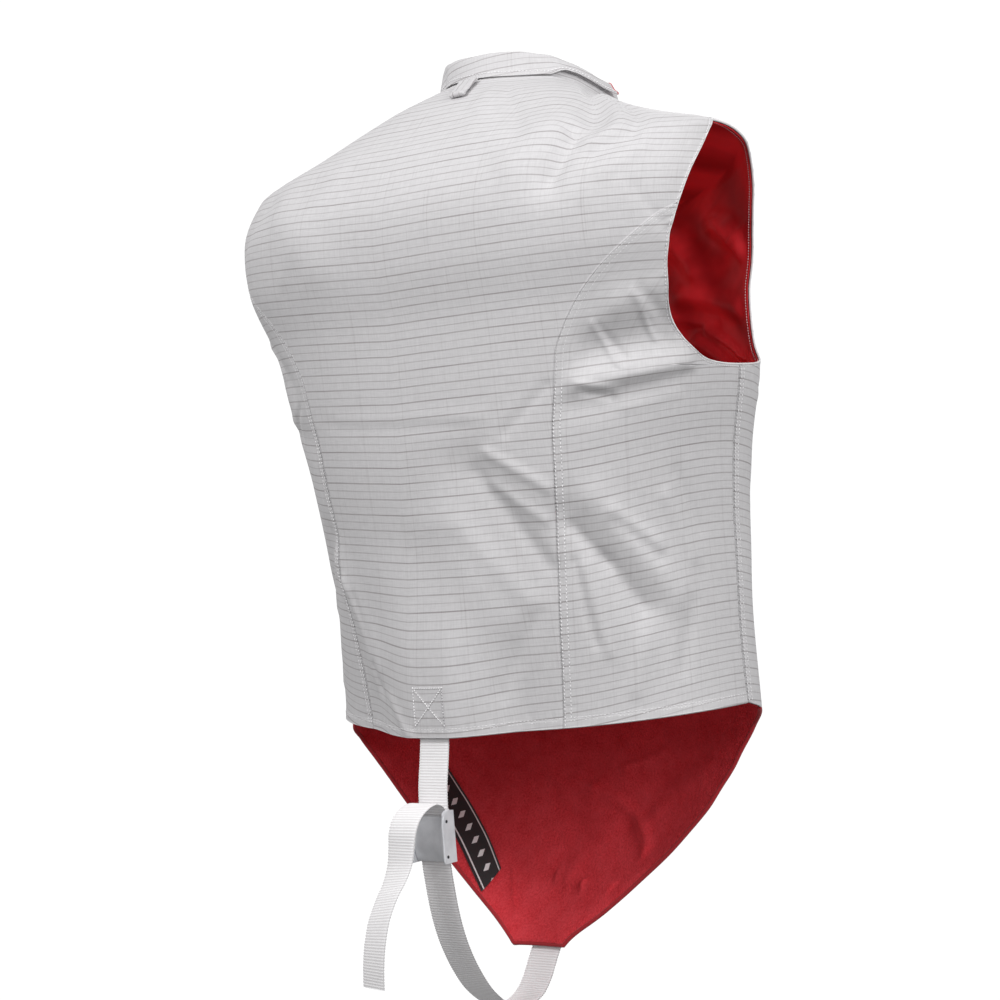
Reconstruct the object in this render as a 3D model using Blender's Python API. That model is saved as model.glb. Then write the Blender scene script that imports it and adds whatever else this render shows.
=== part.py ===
"""Fencing lame: a sleeveless conductive jacket in its worn, hollow form, with its crotch strap.

Run it with blender --background --python part.py, or from Blender's text editor.
The origin is the middle of the neck opening at shoulder height, +Z is up, the front faces -Y and
the wearer's left is +X. Sizes below are in millimetres and turn into metres when a mesh is made.

The cloth follows one surface, body(angle, height). The angle runs round the wearer from the centre
of the back (0) over the wearer's left side (90) to the centre of the front (180). Each panel is a
patch of that surface between two seam lines, and each layer lies a set depth inside it.
"""

import math

import bpy
import numpy as np

MM = 0.001

# Cloth layers, each measured inwards from the outer face
SHELL_THICK = 1.2
LINING_DEPTH = 1.5
LINING_THICK = 1.0
SEAM_GAP = 0.3

# Levels round the body, top to bottom: neck, shoulder tip, underarm and hem
NECK, SHOULDER_TIP, UNDERARM, HEM = -6.0, -48.0, -224.0, -480.0
SIDE_SEAM = 91.5

# The level rings. Depths run back and forward from centre_y, squareness is the superellipse's
# power, and the last two tilt the ring down at the front and up at the back.
RING_COLUMNS = ("height", "half_width", "back_depth", "front_depth", "centre_y",
                "squareness", "front_drop", "back_lift")
RINGS = (
    (-6, 82, 76, 54, -48, 2.0, 62, 28),
    (-18, 120, 80, 90, -14, 2.1, 56, 20),
    (-36, 178, 88, 110, 4, 2.3, 48, 15),
    (-54, 222, 96, 128, 20, 2.5, 40, 10),
    (-85, 226, 110, 136, 26, 2.7, 26, 4),
    (-125, 224, 122, 132, 18, 2.8, 12, 0),
    (-175, 211, 130, 123, 4, 2.7, 3, 0),
    (-230, 202, 138, 119, -5, 2.5, 0, 0),
    (-290, 188, 143, 113, -11, 2.4, 0, 0),
    (-350, 183, 141, 107, -13, 2.3, 0, 0),
    (-410, 183, 133, 104, -11, 2.2, 0, 0),
    (-480, 186, 122, 104, -8, 2.2, 0, -7),
    (-500, 190, 120, 101, -2, 2.2, 0, 0),
    (-530, 177, 110, 93, 4, 2.2, 0, 0),
    (-560, 153, 100, 82, 6, 2.1, 0, 0),
    (-590, 122, 80, 65, 8, 2.1, 0, 0),
    (-620, 88, 60, 43, 12, 2.0, 0, 0),
    (-645, 56, 40, 20, 15, 2.0, 0, 0),
    (-665, 32, 20, 8, 24, 2.0, 0, 0),
    (-682, 15, 10, 2, 31, 2.0, 0, 0),
)

# The armhole's two edges and the back princess seam, as angles at a height
ARMHOLE_COLUMNS = ("height", "back_edge", "front_edge")
ARMHOLE = (
    (-48, 90, 90), (-51, 87.4, 103), (-55, 85.2, 110), (-63, 82.2, 117), (-80, 77.4, 124), (-97, 73.4, 128.5),
    (-116, 69.1, 132), (-133, 66.3, 133.5), (-152, 65.3, 134), (-170, 65.7, 132.5),
    (-190, 68, 130), (-204, 71.5, 127), (-214, 76, 122), (-220, 80, 114), (-224, 91.5, 91.5),
)
PRINCESS_COLUMNS = ("height", "angle")
PRINCESS = (
    (-108, 70.6), (-114, 64.1), (-120, 59.3), (-137, 49.2), (-153, 42.4), (-168, 38), (-189, 34),
    (-208, 32.1), (-252, 32.1), (-295, 33), (-350, 32.5), (-400, 31.6), (-480, 28.3),
)
PRINCESS_TOP = -108.0

# The flap's two edges below the hem, as angles at a height
FLAP_COLUMNS = ("height", "left_edge", "right_edge")
FLAP_EDGES = (
    (-480, 91.5, 268.5), (-489, 76, 250), (-505, 84, 234), (-524, 89, 231), (-546, 91.5, 234),
    (-568, 92, 240), (-597, 91, 243), (-627, 90, 242), (-650, 93, 238), (-668, 97.5, 233), (-682, 99, 240),
)

# The front zip, on the wearer's right, as a distance across the front at a height
ZIP_COLUMNS = ("height", "across")
ZIP_LINE = ((-6, 46), (-54, 52), (-125, 57), (-230, 60), (-480, 60), (-682, 60))
ZIP_END = -634.0
CHAIN_WIDTH = 5.0
CHAIN_THICK = 1.5
SLIDER_HEIGHT = -16.0
SLIDER_LENGTH, SLIDER_WIDTH, SLIDER_THICK, SLIDER_LIFT = 11.0, 8.0, 2.4, 0.5
BAIL_LENGTH, BAIL_WIDTH, BAIL_WALL, BAIL_CLEAR = 7.2, 1.6, 1.0, 2.0
PULL_LENGTH, PULL_WIDTH, PULL_THICK = 24.0, 4.6, 1.0

# Rows of every panel: the same list for all, so that the seams meet
LEVELS = (-6, -12, -18, -26, -34, -42, -48, -51, -55, -63, -74, -86, -97, -108, -110.5, -120, -134,
          -152, -171, -189, -204, -214, -220, -224, -240, -262, -290, -320, -350, -382, -415, -448, -480)
FLAP_LEVELS = (-489, -505, -524, -546, -568, -590, -612, -634, -650, -666, -682)

# The largest folds, as soft ridges and troughs between two places on the surface
FOLD_COLUMNS = ("from_angle", "from_height", "to_angle", "to_height", "width", "rise")
FOLDS = (
    (-52, -30, -31, -84, 15, -4.0),
    (-40, -28, -22, -70, 14, 3.0),
    (-46, -186, -62, -176, 16, -4.0),
    (-38, -226, -72, -214, 15, 3.5),
    (-38, -246, -70, -238, 13, -4.0),
    (-36, -330, -56, -402, 16, -4.5),
    (-44, -318, -66, -392, 15, 3.5),
    (-10, -286, -29, -368, 19, -4.0),
    (-4, -330, -16, -400, 18, 3.0),
    (34, -352, 20, -432, 15, 4.0),
    (44, -250, 66, -236, 15, -4.0),
    (40, -334, 58, -396, 17, -4.0),
    (56, -184, 44, -204, 16, -3.5),
    (30, -70, 16, -118, 17, 2.5),
    (150, -110, 168, -190, 18, -3.5),
    (206, -120, 190, -186, 17, -3.0),
    (112, -262, 140, -248, 16, -4.0),
    (248, -266, 222, -250, 16, -3.5),
    (132, -350, 150, -430, 18, 3.5),
    (230, -342, 214, -418, 19, 4.0),
    (170, -300, 196, -312, 18, -3.0),
    (150, -520, 172, -596, 18, 3.0),
    (214, -512, 196, -580, 18, 3.0),
)
FOLD_MM_PER_DEGREE = 2.9

# Where the crotch strap draws the back hem out: how far, and its flat and whole half widths
PULL_OUT, PULL_OUT_FLAT, PULL_OUT_END, PULL_OUT_START = 26.0, 15.0, 68.0, -330.0

# Collar: a stand round the neck and a turned-down outer layer that ends at the right
COLLAR_HEIGHT, COLLAR_LEAN, STAND_THICK, COLLAR_SEAM = 21.0, 5.0, 2.4, 0.6
TURN_THICK, TURN_RIGHT_END, TURN_LEFT_END = 1.4, -80.0, 98.0
TURN_FLARE, FLARE_FROM, FLARE_TO = 6.0, -34.0, -66.0

# Contact tab below the collar
TAB_TOP_X, TAB_TOP_WIDTH = 0.0, 20.0
TAB_END_X, TAB_END_WIDTH = -13.0, 15.0
TAB_LENGTH, TAB_THICK = 37.0, 2.4

# Webbing strap and its cam buckle, in the plane x = STRAP_X
STRAP_X, STRAP_WIDTH, STRAP_THICK = 2.0, 29.0, 1.5
BACK_STRAP = ((135.8, -446), (136.4, -466), (136.1, -487), (138.6, -504), (142.2, -522),
              (143.6, -538), (143.6, -558))
LOOP_STRAP = ((-15.2, -637.2), (-3.2, -649.2), (10.0, -661.2), (20.3, -673.0), (27.8, -683.5),
              (35.5, -694), (47, -703), (65, -707), (86, -701.5), (106, -686.5), (120.5, -667.5),
              (130.5, -649), (136.5, -633), (140.5, -617), (143.2, -600), (145.1, -585),
              (145.7, -570), (145.7, -555), (146.4, -544.5), (149.5, -538.5), (156.5, -535.8),
              (166.5, -538), (175.5, -544), (181, -553.5), (183.2, -566), (186, -577.5),
              (192.5, -588.5), (202.5, -600), (211.6, -613.5), (217.8, -629), (221.3, -645),
              (222.8, -661))
BUCKLE_WIDTH, BUCKLE_TOP, BUCKLE_HEIGHT = 33.4, -541.0, 40.0
BUCKLE_BASE_Y, BUCKLE_DEPTH, BUCKLE_WALL = 142.2, 11.0, 1.6
LEVER_BULGE, LEVER_THICK = 4.2, 1.8

# Size label sewn inside the flap: its inner edge and its width, each across and up
LABEL_TOP, LABEL_BOTTOM, LABEL_ACROSS = (151.0, -534.0), (70.3, -619.0), (3.3, -11.3)
LABEL_THICK, LABEL_LIFT = 1.0, 1.4

# Colours and finishes: base colour, roughness and metallic value
FINISHES = {
    "conductive_cloth": ((0.60, 0.59, 0.60, 1), 0.62, 0.15),
    "red_lining": ((0.23, 0.01, 0.015, 1), 0.45, 0.0),
    "white_webbing": ((0.80, 0.79, 0.80, 1), 0.75, 0.0),
    "buckle_metal": ((0.46, 0.47, 0.50, 1), 0.40, 0.6),
    "zip_metal": ((0.42, 0.42, 0.44, 1), 0.35, 0.9),
    "black_label": ((0.012, 0.012, 0.014, 1), 0.6, 0.0),
}


# Tables and curves


def table_column(rows, names, name):
    """One named column of a table, lowest height first, with its heights."""
    values = np.array(rows, float)[::-1]
    return values[:, 0], values[:, names.index(name)]


def smooth_read(at, values, where):
    """A monotone cubic through the table's values, so that the cloth has no kinks at its rows."""
    step = np.diff(at)
    slope = np.diff(values) / step
    tangent = np.zeros(len(at))
    before, after = slope[:-1], slope[1:]
    w_before, w_after = 2 * step[1:] + step[:-1], step[1:] + 2 * step[:-1]
    same_way = before * after > 0
    harmonic = w_before / np.where(same_way, before, 1) + w_after / np.where(same_way, after, 1)
    tangent[1:-1] = np.where(same_way, (w_before + w_after) / np.where(same_way, harmonic, 1), 0)
    tangent[0], tangent[-1] = slope[0], slope[-1]
    where = np.clip(where, at[0], at[-1])
    i = np.clip(np.searchsorted(at, where) - 1, 0, len(at) - 2)
    s = (where - at[i]) / step[i]
    return ((1 + 2 * s) * (1 - s) ** 2 * values[i] + s * (1 - s) ** 2 * step[i] * tangent[i]
            + s * s * (3 - 2 * s) * values[i + 1] + s * s * (s - 1) * step[i] * tangent[i + 1])


def ring_value(name, height):
    """A ring size at any height."""
    at, values = table_column(RINGS, RING_COLUMNS, name)
    return smooth_read(at, values, np.asarray(height, float))


def soft_step(start, end, value):
    """0 before start, 1 after end, smooth between."""
    t = np.clip((value - start) / (end - start), 0, 1)
    return t * t * (3 - 2 * t)


def smooth_route(points, count):
    """Points at even steps on a Catmull-Rom curve through the route's own points."""
    p = np.array(points, float)
    p = np.vstack([2 * p[0] - p[1], p, 2 * p[-1] - p[-2]])
    s = np.linspace(0, len(points) - 1, count)
    i = np.minimum(s.astype(int), len(points) - 2)
    t = (s - i)[:, None]
    a, b, c, d = p[i], p[i + 1], p[i + 2], p[i + 3]
    return 0.5 * (2 * b + (c - a) * t + (2 * a - 5 * b + 4 * c - d) * t ** 2
                  + (3 * b - a - 3 * c + d) * t ** 3)


# The worn surface


def plain_body(angle, height):
    """The surface without its folds: a superellipse at each height, tilted at front and back."""
    angle, height = np.broadcast_arrays(np.radians(angle), np.asarray(height, float))
    sine, cosine = np.sin(angle), np.cos(angle)
    power = 2 / ring_value("squareness", height)
    depth = np.where(cosine > 0, ring_value("back_depth", height), ring_value("front_depth", height))
    tilt = np.where(cosine > 0, ring_value("back_lift", height), -ring_value("front_drop", height))
    x = ring_value("half_width", height) * np.sign(sine) * np.abs(sine) ** power
    y = ring_value("centre_y", height) + depth * np.sign(cosine) * np.abs(cosine) ** power
    return np.stack([x, y, height + tilt * cosine ** 2], -1)


def outward_of(surface, angle, height):
    """Unit normals of a surface, from small steps round and up it."""
    round_step = surface(angle + 0.15, height) - surface(angle - 0.15, height)
    up_step = surface(angle, height + 0.5) - surface(angle, height - 0.5)
    normal = np.cross(up_step, round_step)
    return normal / np.linalg.norm(normal, axis=-1, keepdims=True)


def relief(angle, height):
    """How far the folds and the strap's pull move the cloth out, in millimetres."""
    angle, height = np.broadcast_arrays(np.asarray(angle, float), np.asarray(height, float))
    round_the_body = np.where(angle > 270, angle - 360, angle)
    total = np.zeros(height.shape)
    for row in FOLDS:
        fold = dict(zip(FOLD_COLUMNS, row))
        start = np.array([fold["from_angle"] * FOLD_MM_PER_DEGREE, fold["from_height"]])
        run = np.array([fold["to_angle"] * FOLD_MM_PER_DEGREE, fold["to_height"]]) - start
        place = np.stack([round_the_body * FOLD_MM_PER_DEGREE, height], -1) - start
        along = np.clip((place @ run) / (run @ run), 0, 1)
        away = np.linalg.norm(place - along[..., None] * run, axis=-1)
        total = total + fold["rise"] * np.exp(-(away / fold["width"]) ** 2)
    near_edge = soft_step(NECK - 4, NECK - 40, height)
    across = plain_body(angle, height)[..., 0]
    at_back = np.cos(np.radians(angle)) > 0
    pull = PULL_OUT * (1 - soft_step(PULL_OUT_FLAT, PULL_OUT_END, np.abs(across - STRAP_X)))
    pull = pull * soft_step(PULL_OUT_START, HEM + 6, height) * at_back
    return total * near_edge + pull


def body(angle, height):
    """The outer face of the cloth."""
    out = outward_of(plain_body, np.asarray(angle, float), np.asarray(height, float))
    return plain_body(angle, height) + out * relief(angle, height)[..., None]


def back_edge(height):
    """The angle where the back panels end at the wearer's left: shoulder, armhole or side seam."""
    if height > SHOULDER_TIP:
        return 90.0
    if height <= UNDERARM:
        return SIDE_SEAM
    at, values = table_column(ARMHOLE, ARMHOLE_COLUMNS, "back_edge")
    return float(np.interp(height, at, values))


def front_edge(height):
    """The angle where the front panels start at the wearer's left."""
    if height > SHOULDER_TIP:
        return 90.0
    if height < HEM:
        at, values = table_column(FLAP_EDGES, FLAP_COLUMNS, "left_edge")
        return float(np.interp(height, at, values))
    if height <= UNDERARM:
        return SIDE_SEAM
    at, values = table_column(ARMHOLE, ARMHOLE_COLUMNS, "front_edge")
    return float(np.interp(height, at, values))


def front_end(height):
    """The angle where the front panels end at the wearer's right."""
    if height < HEM:
        at, values = table_column(FLAP_EDGES, FLAP_COLUMNS, "right_edge")
        return float(np.interp(height, at, values))
    return 360 - front_edge(height)


def princess_edge(height):
    """The angle of the back princess seam, which runs out into the armhole."""
    if height >= PRINCESS_TOP:
        return back_edge(height)
    at, values = table_column(PRINCESS, PRINCESS_COLUMNS, "angle")
    return min(float(smooth_read(at, values, np.float64(height))), back_edge(height))


def zip_angle(height):
    """The angle of the zip's line, at the wearer's right of the front."""
    at, values = table_column(ZIP_LINE, ZIP_COLUMNS, "across")
    share = min(1.0, float(np.interp(height, at, values)) / float(ring_value("half_width", height)))
    return 180 + math.degrees(math.asin(share ** (float(ring_value("squareness", height)) / 2)))


# Meshes


def make_solid(name, points, faces, finish):
    """A closed mesh from points in millimetres, its faces turned to point outwards."""
    points = np.asarray(points, float) * MM
    volume = 0.0
    for face in faces:
        for k in range(1, len(face) - 1):
            volume += np.dot(points[face[0]], np.cross(points[face[k]], points[face[k + 1]]))
    if volume < 0:
        faces = [(face[0], *reversed(face[1:])) for face in faces]
    mesh = bpy.data.meshes.new(name)
    mesh.from_pydata([tuple(p) for p in points], [], [tuple(int(i) for i in f) for f in faces])
    mesh.materials.append(material(finish))
    mesh.validate()
    mesh.update()
    mesh.shade_smooth()
    mesh.set_sharp_from_angle(angle=math.radians(40))
    made = bpy.data.objects.new(name, mesh)
    bpy.context.scene.collection.objects.link(made)
    return made


def material(finish):
    """The Principled material of one finish, made once."""
    found = bpy.data.materials.get(finish)
    if found:
        return found
    colour, roughness, metallic = FINISHES[finish]
    made = bpy.data.materials.new(finish)
    made.use_nodes = True
    shader = made.node_tree.nodes["Principled BSDF"]
    shader.inputs["Base Color"].default_value = colour
    shader.inputs["Roughness"].default_value = roughness
    shader.inputs["Metallic"].default_value = metallic
    return made


def wall_between(name, outer, inner, finish):
    """A closed wall between two grids of points. Both sides split their quads the same way."""
    rows, columns = outer.shape[:2]
    count = rows * columns
    index = np.arange(count).reshape(rows, columns)
    a, b, c, d = index[:-1, :-1], index[:-1, 1:], index[1:, 1:], index[1:, :-1]
    faces = [np.stack([a, b, c, d], -1).reshape(-1, 4), np.stack([a, d, c, b], -1).reshape(-1, 4) + count]
    for edge in (index[0], index[-1][::-1], index[::-1, 0], index[:, -1]):
        faces.append(np.stack([edge[1:], edge[:-1], edge[:-1] + count, edge[1:] + count], -1))
    points = np.vstack([outer.reshape(-1, 3), inner.reshape(-1, 3)])
    return make_solid(name, points, np.vstack(faces).tolist(), finish)


def even_angles(start, end, height, columns, start_inset=SEAM_GAP / 2, end_inset=SEAM_GAP / 2):
    """Angles at even lengths along one level, short of both seams by their insets."""
    trial = np.linspace(start, end, 241)
    steps = np.linalg.norm(np.diff(body(trial, height), axis=0), axis=1)
    length = np.concatenate([[0.0], np.cumsum(steps)])
    wanted = np.linspace(start_inset, length[-1] - end_inset, columns)
    return np.interp(wanted, length, trial)


def panel(name, levels, edges, columns, depth, thick, finish, insets=(SEAM_GAP / 2, SEAM_GAP / 2)):
    """One cut panel: a patch of the surface between two edges, from depth to depth plus thick."""
    angles = np.array([even_angles(*edges(h), h, columns, *insets) for h in levels])
    heights = np.repeat(np.array(levels, float)[:, None], columns, axis=1)
    face = body(angles, heights)
    inwards = -outward_of(body, angles, heights)
    return wall_between(name, face + inwards * depth, face + inwards * (depth + thick), finish)


# The garment's pieces


def make_back(prefix, depth, thick, finish):
    """Back centre and the two back sides, which meet it at the princess seams."""
    def centre(height):
        return -princess_edge(height), princess_edge(height)

    def left(height):
        return princess_edge(height), back_edge(height)

    def right(height):
        return -back_edge(height), -princess_edge(height)

    side_levels = [h for h in LEVELS if h < PRINCESS_TOP]
    panel(prefix + "back_centre", LEVELS, centre, 15, depth, thick, finish)
    panel(prefix + "back_side_left", side_levels, left, 6, depth, thick, finish)
    panel(prefix + "back_side_right", side_levels, right, 6, depth, thick, finish)


def make_front(prefix, depth, thick, finish):
    """The two fronts, parted by the zip. The left one runs on into the tip of the flap."""
    def left(height):
        return front_edge(height), min(zip_angle(height), front_end(height))

    def right(height):
        return zip_angle(height), front_end(height)

    beside_zip = CHAIN_WIDTH / 2 + SEAM_GAP
    levels = LEVELS + FLAP_LEVELS
    right_levels = [h for h in levels if h > ZIP_END]
    panel(prefix + "front_left", levels, left, 16, depth, thick, finish,
          insets=(SEAM_GAP / 2, beside_zip))
    panel(prefix + "front_right", right_levels, right, 8, depth, thick, finish,
          insets=(beside_zip, SEAM_GAP / 2))


def make_collar():
    """The collar's stand, open at the zip, and its outer layer, which stands off at the right."""
    zip_here = zip_angle(NECK)
    stand_angles = np.linspace(zip_here + 3.5 - 360, zip_here - 3.5, 49)

    def collar_point(angle, rise, offset):
        base = plain_body(angle, NECK)
        flat = np.stack([base[..., 0], base[..., 1] - ring_value("centre_y", NECK)], -1)
        flat = flat / np.linalg.norm(flat, axis=-1, keepdims=True)
        share = np.asarray(rise, float) / COLLAR_HEIGHT
        move = np.broadcast_to(offset - COLLAR_LEAN * share, base.shape[:-1])
        lift = np.broadcast_to(rise + COLLAR_SEAM, base.shape[:-1])
        return base + np.stack([flat[..., 0] * move, flat[..., 1] * move, lift], -1)

    rises = np.array([0.0, 7.0, 14.0, COLLAR_HEIGHT])[:, None]
    angles = np.broadcast_to(stand_angles, (len(rises), len(stand_angles)))
    outer = collar_point(angles, rises, 0.0)
    inner = collar_point(angles, rises, -STAND_THICK)
    wall_between("collar_stand", outer, inner, "conductive_cloth")

    turn_angles = np.linspace(TURN_RIGHT_END, TURN_LEFT_END, 27)
    rises = np.array([1.5, 8.0, 15.0, COLLAR_HEIGHT])[:, None]
    angles = np.broadcast_to(turn_angles, (len(rises), len(turn_angles)))
    flare = TURN_FLARE * soft_step(FLARE_FROM, FLARE_TO, angles) * (1 - rises / COLLAR_HEIGHT)
    near = SEAM_GAP + flare
    outer = collar_point(angles, rises, near + TURN_THICK)
    inner = collar_point(angles, rises, near)
    wall_between("collar_turn", outer, inner, "conductive_cloth")


def make_contact_tab():
    """A flat double-cloth tab that hangs from the neck seam at the centre of the back."""
    start = body(0.0, NECK - 1.5)
    end = body(0.0, NECK - 11.0)
    down = (end - start) / np.linalg.norm(end - start)
    out = outward_of(body, np.float64(0.0), np.float64(NECK - 6.0))
    out = out - down * (out @ down)
    out = out / np.linalg.norm(out)
    lift = 1.2
    lower = start + down * TAB_LENGTH + out * lift
    upper = start + out * lift
    corners = []
    for point, x, width in ((upper, TAB_TOP_X, TAB_TOP_WIDTH), (lower, TAB_END_X, TAB_END_WIDTH)):
        for side in (-1, 1):
            corners.append(point + np.array([x + side * width / 2, 0, 0]))
    near = np.array(corners).reshape(2, 2, 3)
    wall_between("contact_tab", near + out * TAB_THICK, near, "conductive_cloth")


def make_webbing(name, route, count):
    """Flat webbing along a route in the plane x = STRAP_X, with its thickness across the route."""
    path = smooth_route(route, count)
    run = np.gradient(path, axis=0)
    run = run / np.linalg.norm(run, axis=1, keepdims=True)
    side = np.stack([-run[:, 1], run[:, 0]], -1) * STRAP_THICK / 2
    faces = []
    for offset in (side, -side):
        y_z = path + offset
        columns = [np.column_stack([np.full(count, STRAP_X + half * STRAP_WIDTH / 2), y_z])
                   for half in (-1, 1)]
        faces.append(np.stack(columns, axis=1))
    return wall_between(name, faces[0], faces[1], "white_webbing")


def box_solid(name, low, high, finish):
    """A plain box between two corners."""
    x, y, z = zip(low, high)
    points = [(x[i], y[j], z[k]) for i in (0, 1) for j in (0, 1) for k in (0, 1)]
    faces = [(0, 1, 3, 2), (4, 6, 7, 5), (0, 4, 5, 1), (2, 3, 7, 6), (0, 2, 6, 4), (1, 5, 7, 3)]
    return make_solid(name, points, faces, finish)


def extruded(name, outline, low_x, high_x, finish):
    """An outline in the plane of Y and Z, carried from low_x to high_x."""
    n = len(outline)
    points = [(low_x, y, z) for y, z in outline] + [(high_x, y, z) for y, z in outline]
    faces = [tuple(range(n)), tuple(range(2 * n - 1, n - 1, -1))]
    faces += [((i + 1) % n, i, n + i, n + (i + 1) % n) for i in range(n)]
    return make_solid(name, points, faces, finish)


def make_buckle():
    """A cam buckle: base plate, two cheeks, the arched lever and the two pins across them."""
    half = BUCKLE_WIDTH / 2
    top, bottom = BUCKLE_TOP, BUCKLE_TOP - BUCKLE_HEIGHT
    low_y, high_y = BUCKLE_BASE_Y - BUCKLE_WALL, BUCKLE_BASE_Y + BUCKLE_DEPTH
    box_solid("buckle_base", (STRAP_X - half + BUCKLE_WALL + SEAM_GAP, low_y, bottom + 4),
              (STRAP_X + half - BUCKLE_WALL - SEAM_GAP, BUCKLE_BASE_Y, top - 3), "buckle_metal")
    cheek = [(low_y, bottom), (high_y + 1.5, bottom), (high_y + 0.5, top - 12), (high_y - 3, top - 2),
             (high_y - 6, top), (low_y, top - 1)]
    for side, name in ((-1, "buckle_cheek_right"), (1, "buckle_cheek_left")):
        edge = STRAP_X + side * half
        inner = edge - side * BUCKLE_WALL
        extruded(name, cheek, min(edge, inner), max(edge, inner), "buckle_metal")
    lever_half = half - BUCKLE_WALL - SEAM_GAP
    steps = np.linspace(0, 1, 9)
    outer_y = BUCKLE_BASE_Y + 6.9 + LEVER_BULGE * np.sin(math.pi * steps) ** 0.8
    z = np.interp(steps, (0, 1), (top - 8.0, bottom + 1.0))
    outline = [(y, h) for y, h in zip(outer_y, z)]
    outline += [(y - LEVER_THICK, h) for y, h in zip(outer_y[::-1], z[::-1])]
    extruded("buckle_lever", outline, STRAP_X - lever_half, STRAP_X + lever_half, "buckle_metal")


def zip_frame(height):
    """The place and the three directions (across, down, out) of the zip's line at a height."""
    angle = zip_angle(height)
    place = body(angle, height)
    out = outward_of(body, np.float64(angle), np.float64(height))
    below = body(zip_angle(height - 1), height - 1)
    down = below - body(zip_angle(height + 1), height + 1) if height < NECK - 1 else below - place
    down = down / np.linalg.norm(down)
    across = np.cross(down, out)
    across = across / np.linalg.norm(across)
    return place, across, down, np.cross(across, down)


def placed(frame, points):
    """Points given as (across, down, out) in a local frame, put in their place."""
    place, across, down, out = frame
    points = np.array(points, float)
    return place + points[:, :1] * across + points[:, 1:2] * down + points[:, 2:] * out


def ring_of_quads(outer, inner):
    """Faces of a plate with one window: four points a rectangle, top rectangles before bottom."""
    faces = []
    for i in range(4):
        j = (i + 1) % 4
        faces.append((outer[i], outer[j], inner[j], inner[i]))
        faces.append((outer[i] + 8, inner[i] + 8, inner[j] + 8, outer[j] + 8))
        faces.append((outer[j], outer[i], outer[i] + 8, outer[j] + 8))
        faces.append((inner[i], inner[j], inner[j] + 8, inner[i] + 8))
    return faces


def make_zip():
    """The closed chain between the fronts, the slider at its top and the pull tab in its bail."""
    levels = [h for h in LEVELS + FLAP_LEVELS if NECK > h > ZIP_END]
    frames = [zip_frame(h) for h in levels]
    half = CHAIN_WIDTH / 2
    face = np.array([placed(f, [(-half, 0, -0.2), (half, 0, -0.2)]) for f in frames])
    back = np.array([placed(f, [(-half, 0, -0.2 - CHAIN_THICK), (half, 0, -0.2 - CHAIN_THICK)])
                     for f in frames])
    wall_between("zip_chain", face, back, "zip_metal")

    at_top = zip_frame(SLIDER_HEIGHT)
    low, high = SLIDER_LIFT, SLIDER_LIFT + SLIDER_THICK
    x, y = SLIDER_WIDTH / 2, SLIDER_LENGTH / 2
    corners = [(i, j, k) for i in (-x, x) for j in (-y, y) for k in (low, high)]
    faces = [(0, 1, 3, 2), (4, 6, 7, 5), (0, 4, 5, 1), (2, 3, 7, 6), (0, 2, 6, 4), (1, 5, 7, 3)]
    slider = make_solid("zip_slider", placed(at_top, corners), faces, "zip_metal")

    inner, outer = BAIL_LENGTH / 2 - BAIL_WALL, BAIL_LENGTH / 2
    root, under, over = high - 0.6, high + BAIL_CLEAR, high + BAIL_CLEAR + BAIL_WALL
    arch = [(-outer, root), (-outer, over), (outer, over), (outer, root), (inner, root),
            (inner, under), (-inner, under), (-inner, root)]
    points = [(side * BAIL_WIDTH / 2, d, o) for side in (-1, 1) for d, o in arch]
    n = len(arch)
    faces = [(0, 1, 6, 7), (1, 2, 5, 6), (2, 3, 4, 5)]
    faces += [tuple(n + i for i in reversed(f)) for f in faces]
    faces += [(i, n + i, n + (i + 1) % n, (i + 1) % n) for i in range(n)]
    bail = make_solid("bail_guide", placed(at_top, points), faces, "zip_metal")
    bail.hide_render = True
    bail.display_type = "WIRE"
    union = slider.modifiers.new("Bail", "BOOLEAN")
    union.operation = "UNION"
    union.object = bail

    axis = high + BAIL_CLEAR / 2
    bar, wide = PULL_THICK / 2, PULL_WIDTH / 2
    slot = BAIL_WIDTH / 2 + 0.5
    outline = [(-wide, -bar), (wide, -bar), (wide, PULL_LENGTH - bar), (-wide, PULL_LENGTH - bar)]
    window = [(-slot, bar), (slot, bar), (slot, BAIL_LENGTH / 2 + 1.4), (-slot, BAIL_LENGTH / 2 + 1.4)]
    points = [(a, d, axis + side * bar) for side in (1, -1) for a, d in outline + window]
    make_solid("zip_pull", placed(at_top, points), ring_of_quads((0, 1, 2, 3), (4, 5, 6, 7)),
               "zip_metal")


def flap_inside(x, height, depth):
    """A point inside the flap, at a distance across it and a height."""
    share = x / float(ring_value("half_width", height))
    angle = 180 - math.degrees(math.asin(share ** (float(ring_value("squareness", height)) / 2)))
    out = outward_of(body, np.float64(angle), np.float64(height))
    return body(angle, height) - out * depth


def make_label():
    """The size label sewn slantwise inside the flap, near its left edge."""
    near, far = [], []
    depth = LINING_DEPTH + LINING_THICK + LABEL_LIFT
    for share in np.linspace(0, 1, 9):
        x, z = np.array(LABEL_TOP) * (1 - share) + np.array(LABEL_BOTTOM) * share
        places = [(x + LABEL_ACROSS[0] * t, z + LABEL_ACROSS[1] * t) for t in (0, 0.5, 1)]
        near.append([flap_inside(a, h, depth) for a, h in places])
        far.append([flap_inside(a, h, depth + LABEL_THICK) for a, h in places])
    wall_between("size_label", np.array(near), np.array(far), "black_label")


def main():
    for old in list(bpy.data.objects):
        bpy.data.objects.remove(old)
    make_back("", 0.0, SHELL_THICK, "conductive_cloth")
    make_front("", 0.0, SHELL_THICK, "conductive_cloth")
    make_back("lining_", LINING_DEPTH, LINING_THICK, "red_lining")
    make_front("lining_", LINING_DEPTH, LINING_THICK, "red_lining")
    make_collar()
    make_contact_tab()
    make_webbing("strap_back", BACK_STRAP, 16)
    make_webbing("strap_loop", LOOP_STRAP, 72)
    make_buckle()
    make_zip()
    make_label()


main()
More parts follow.
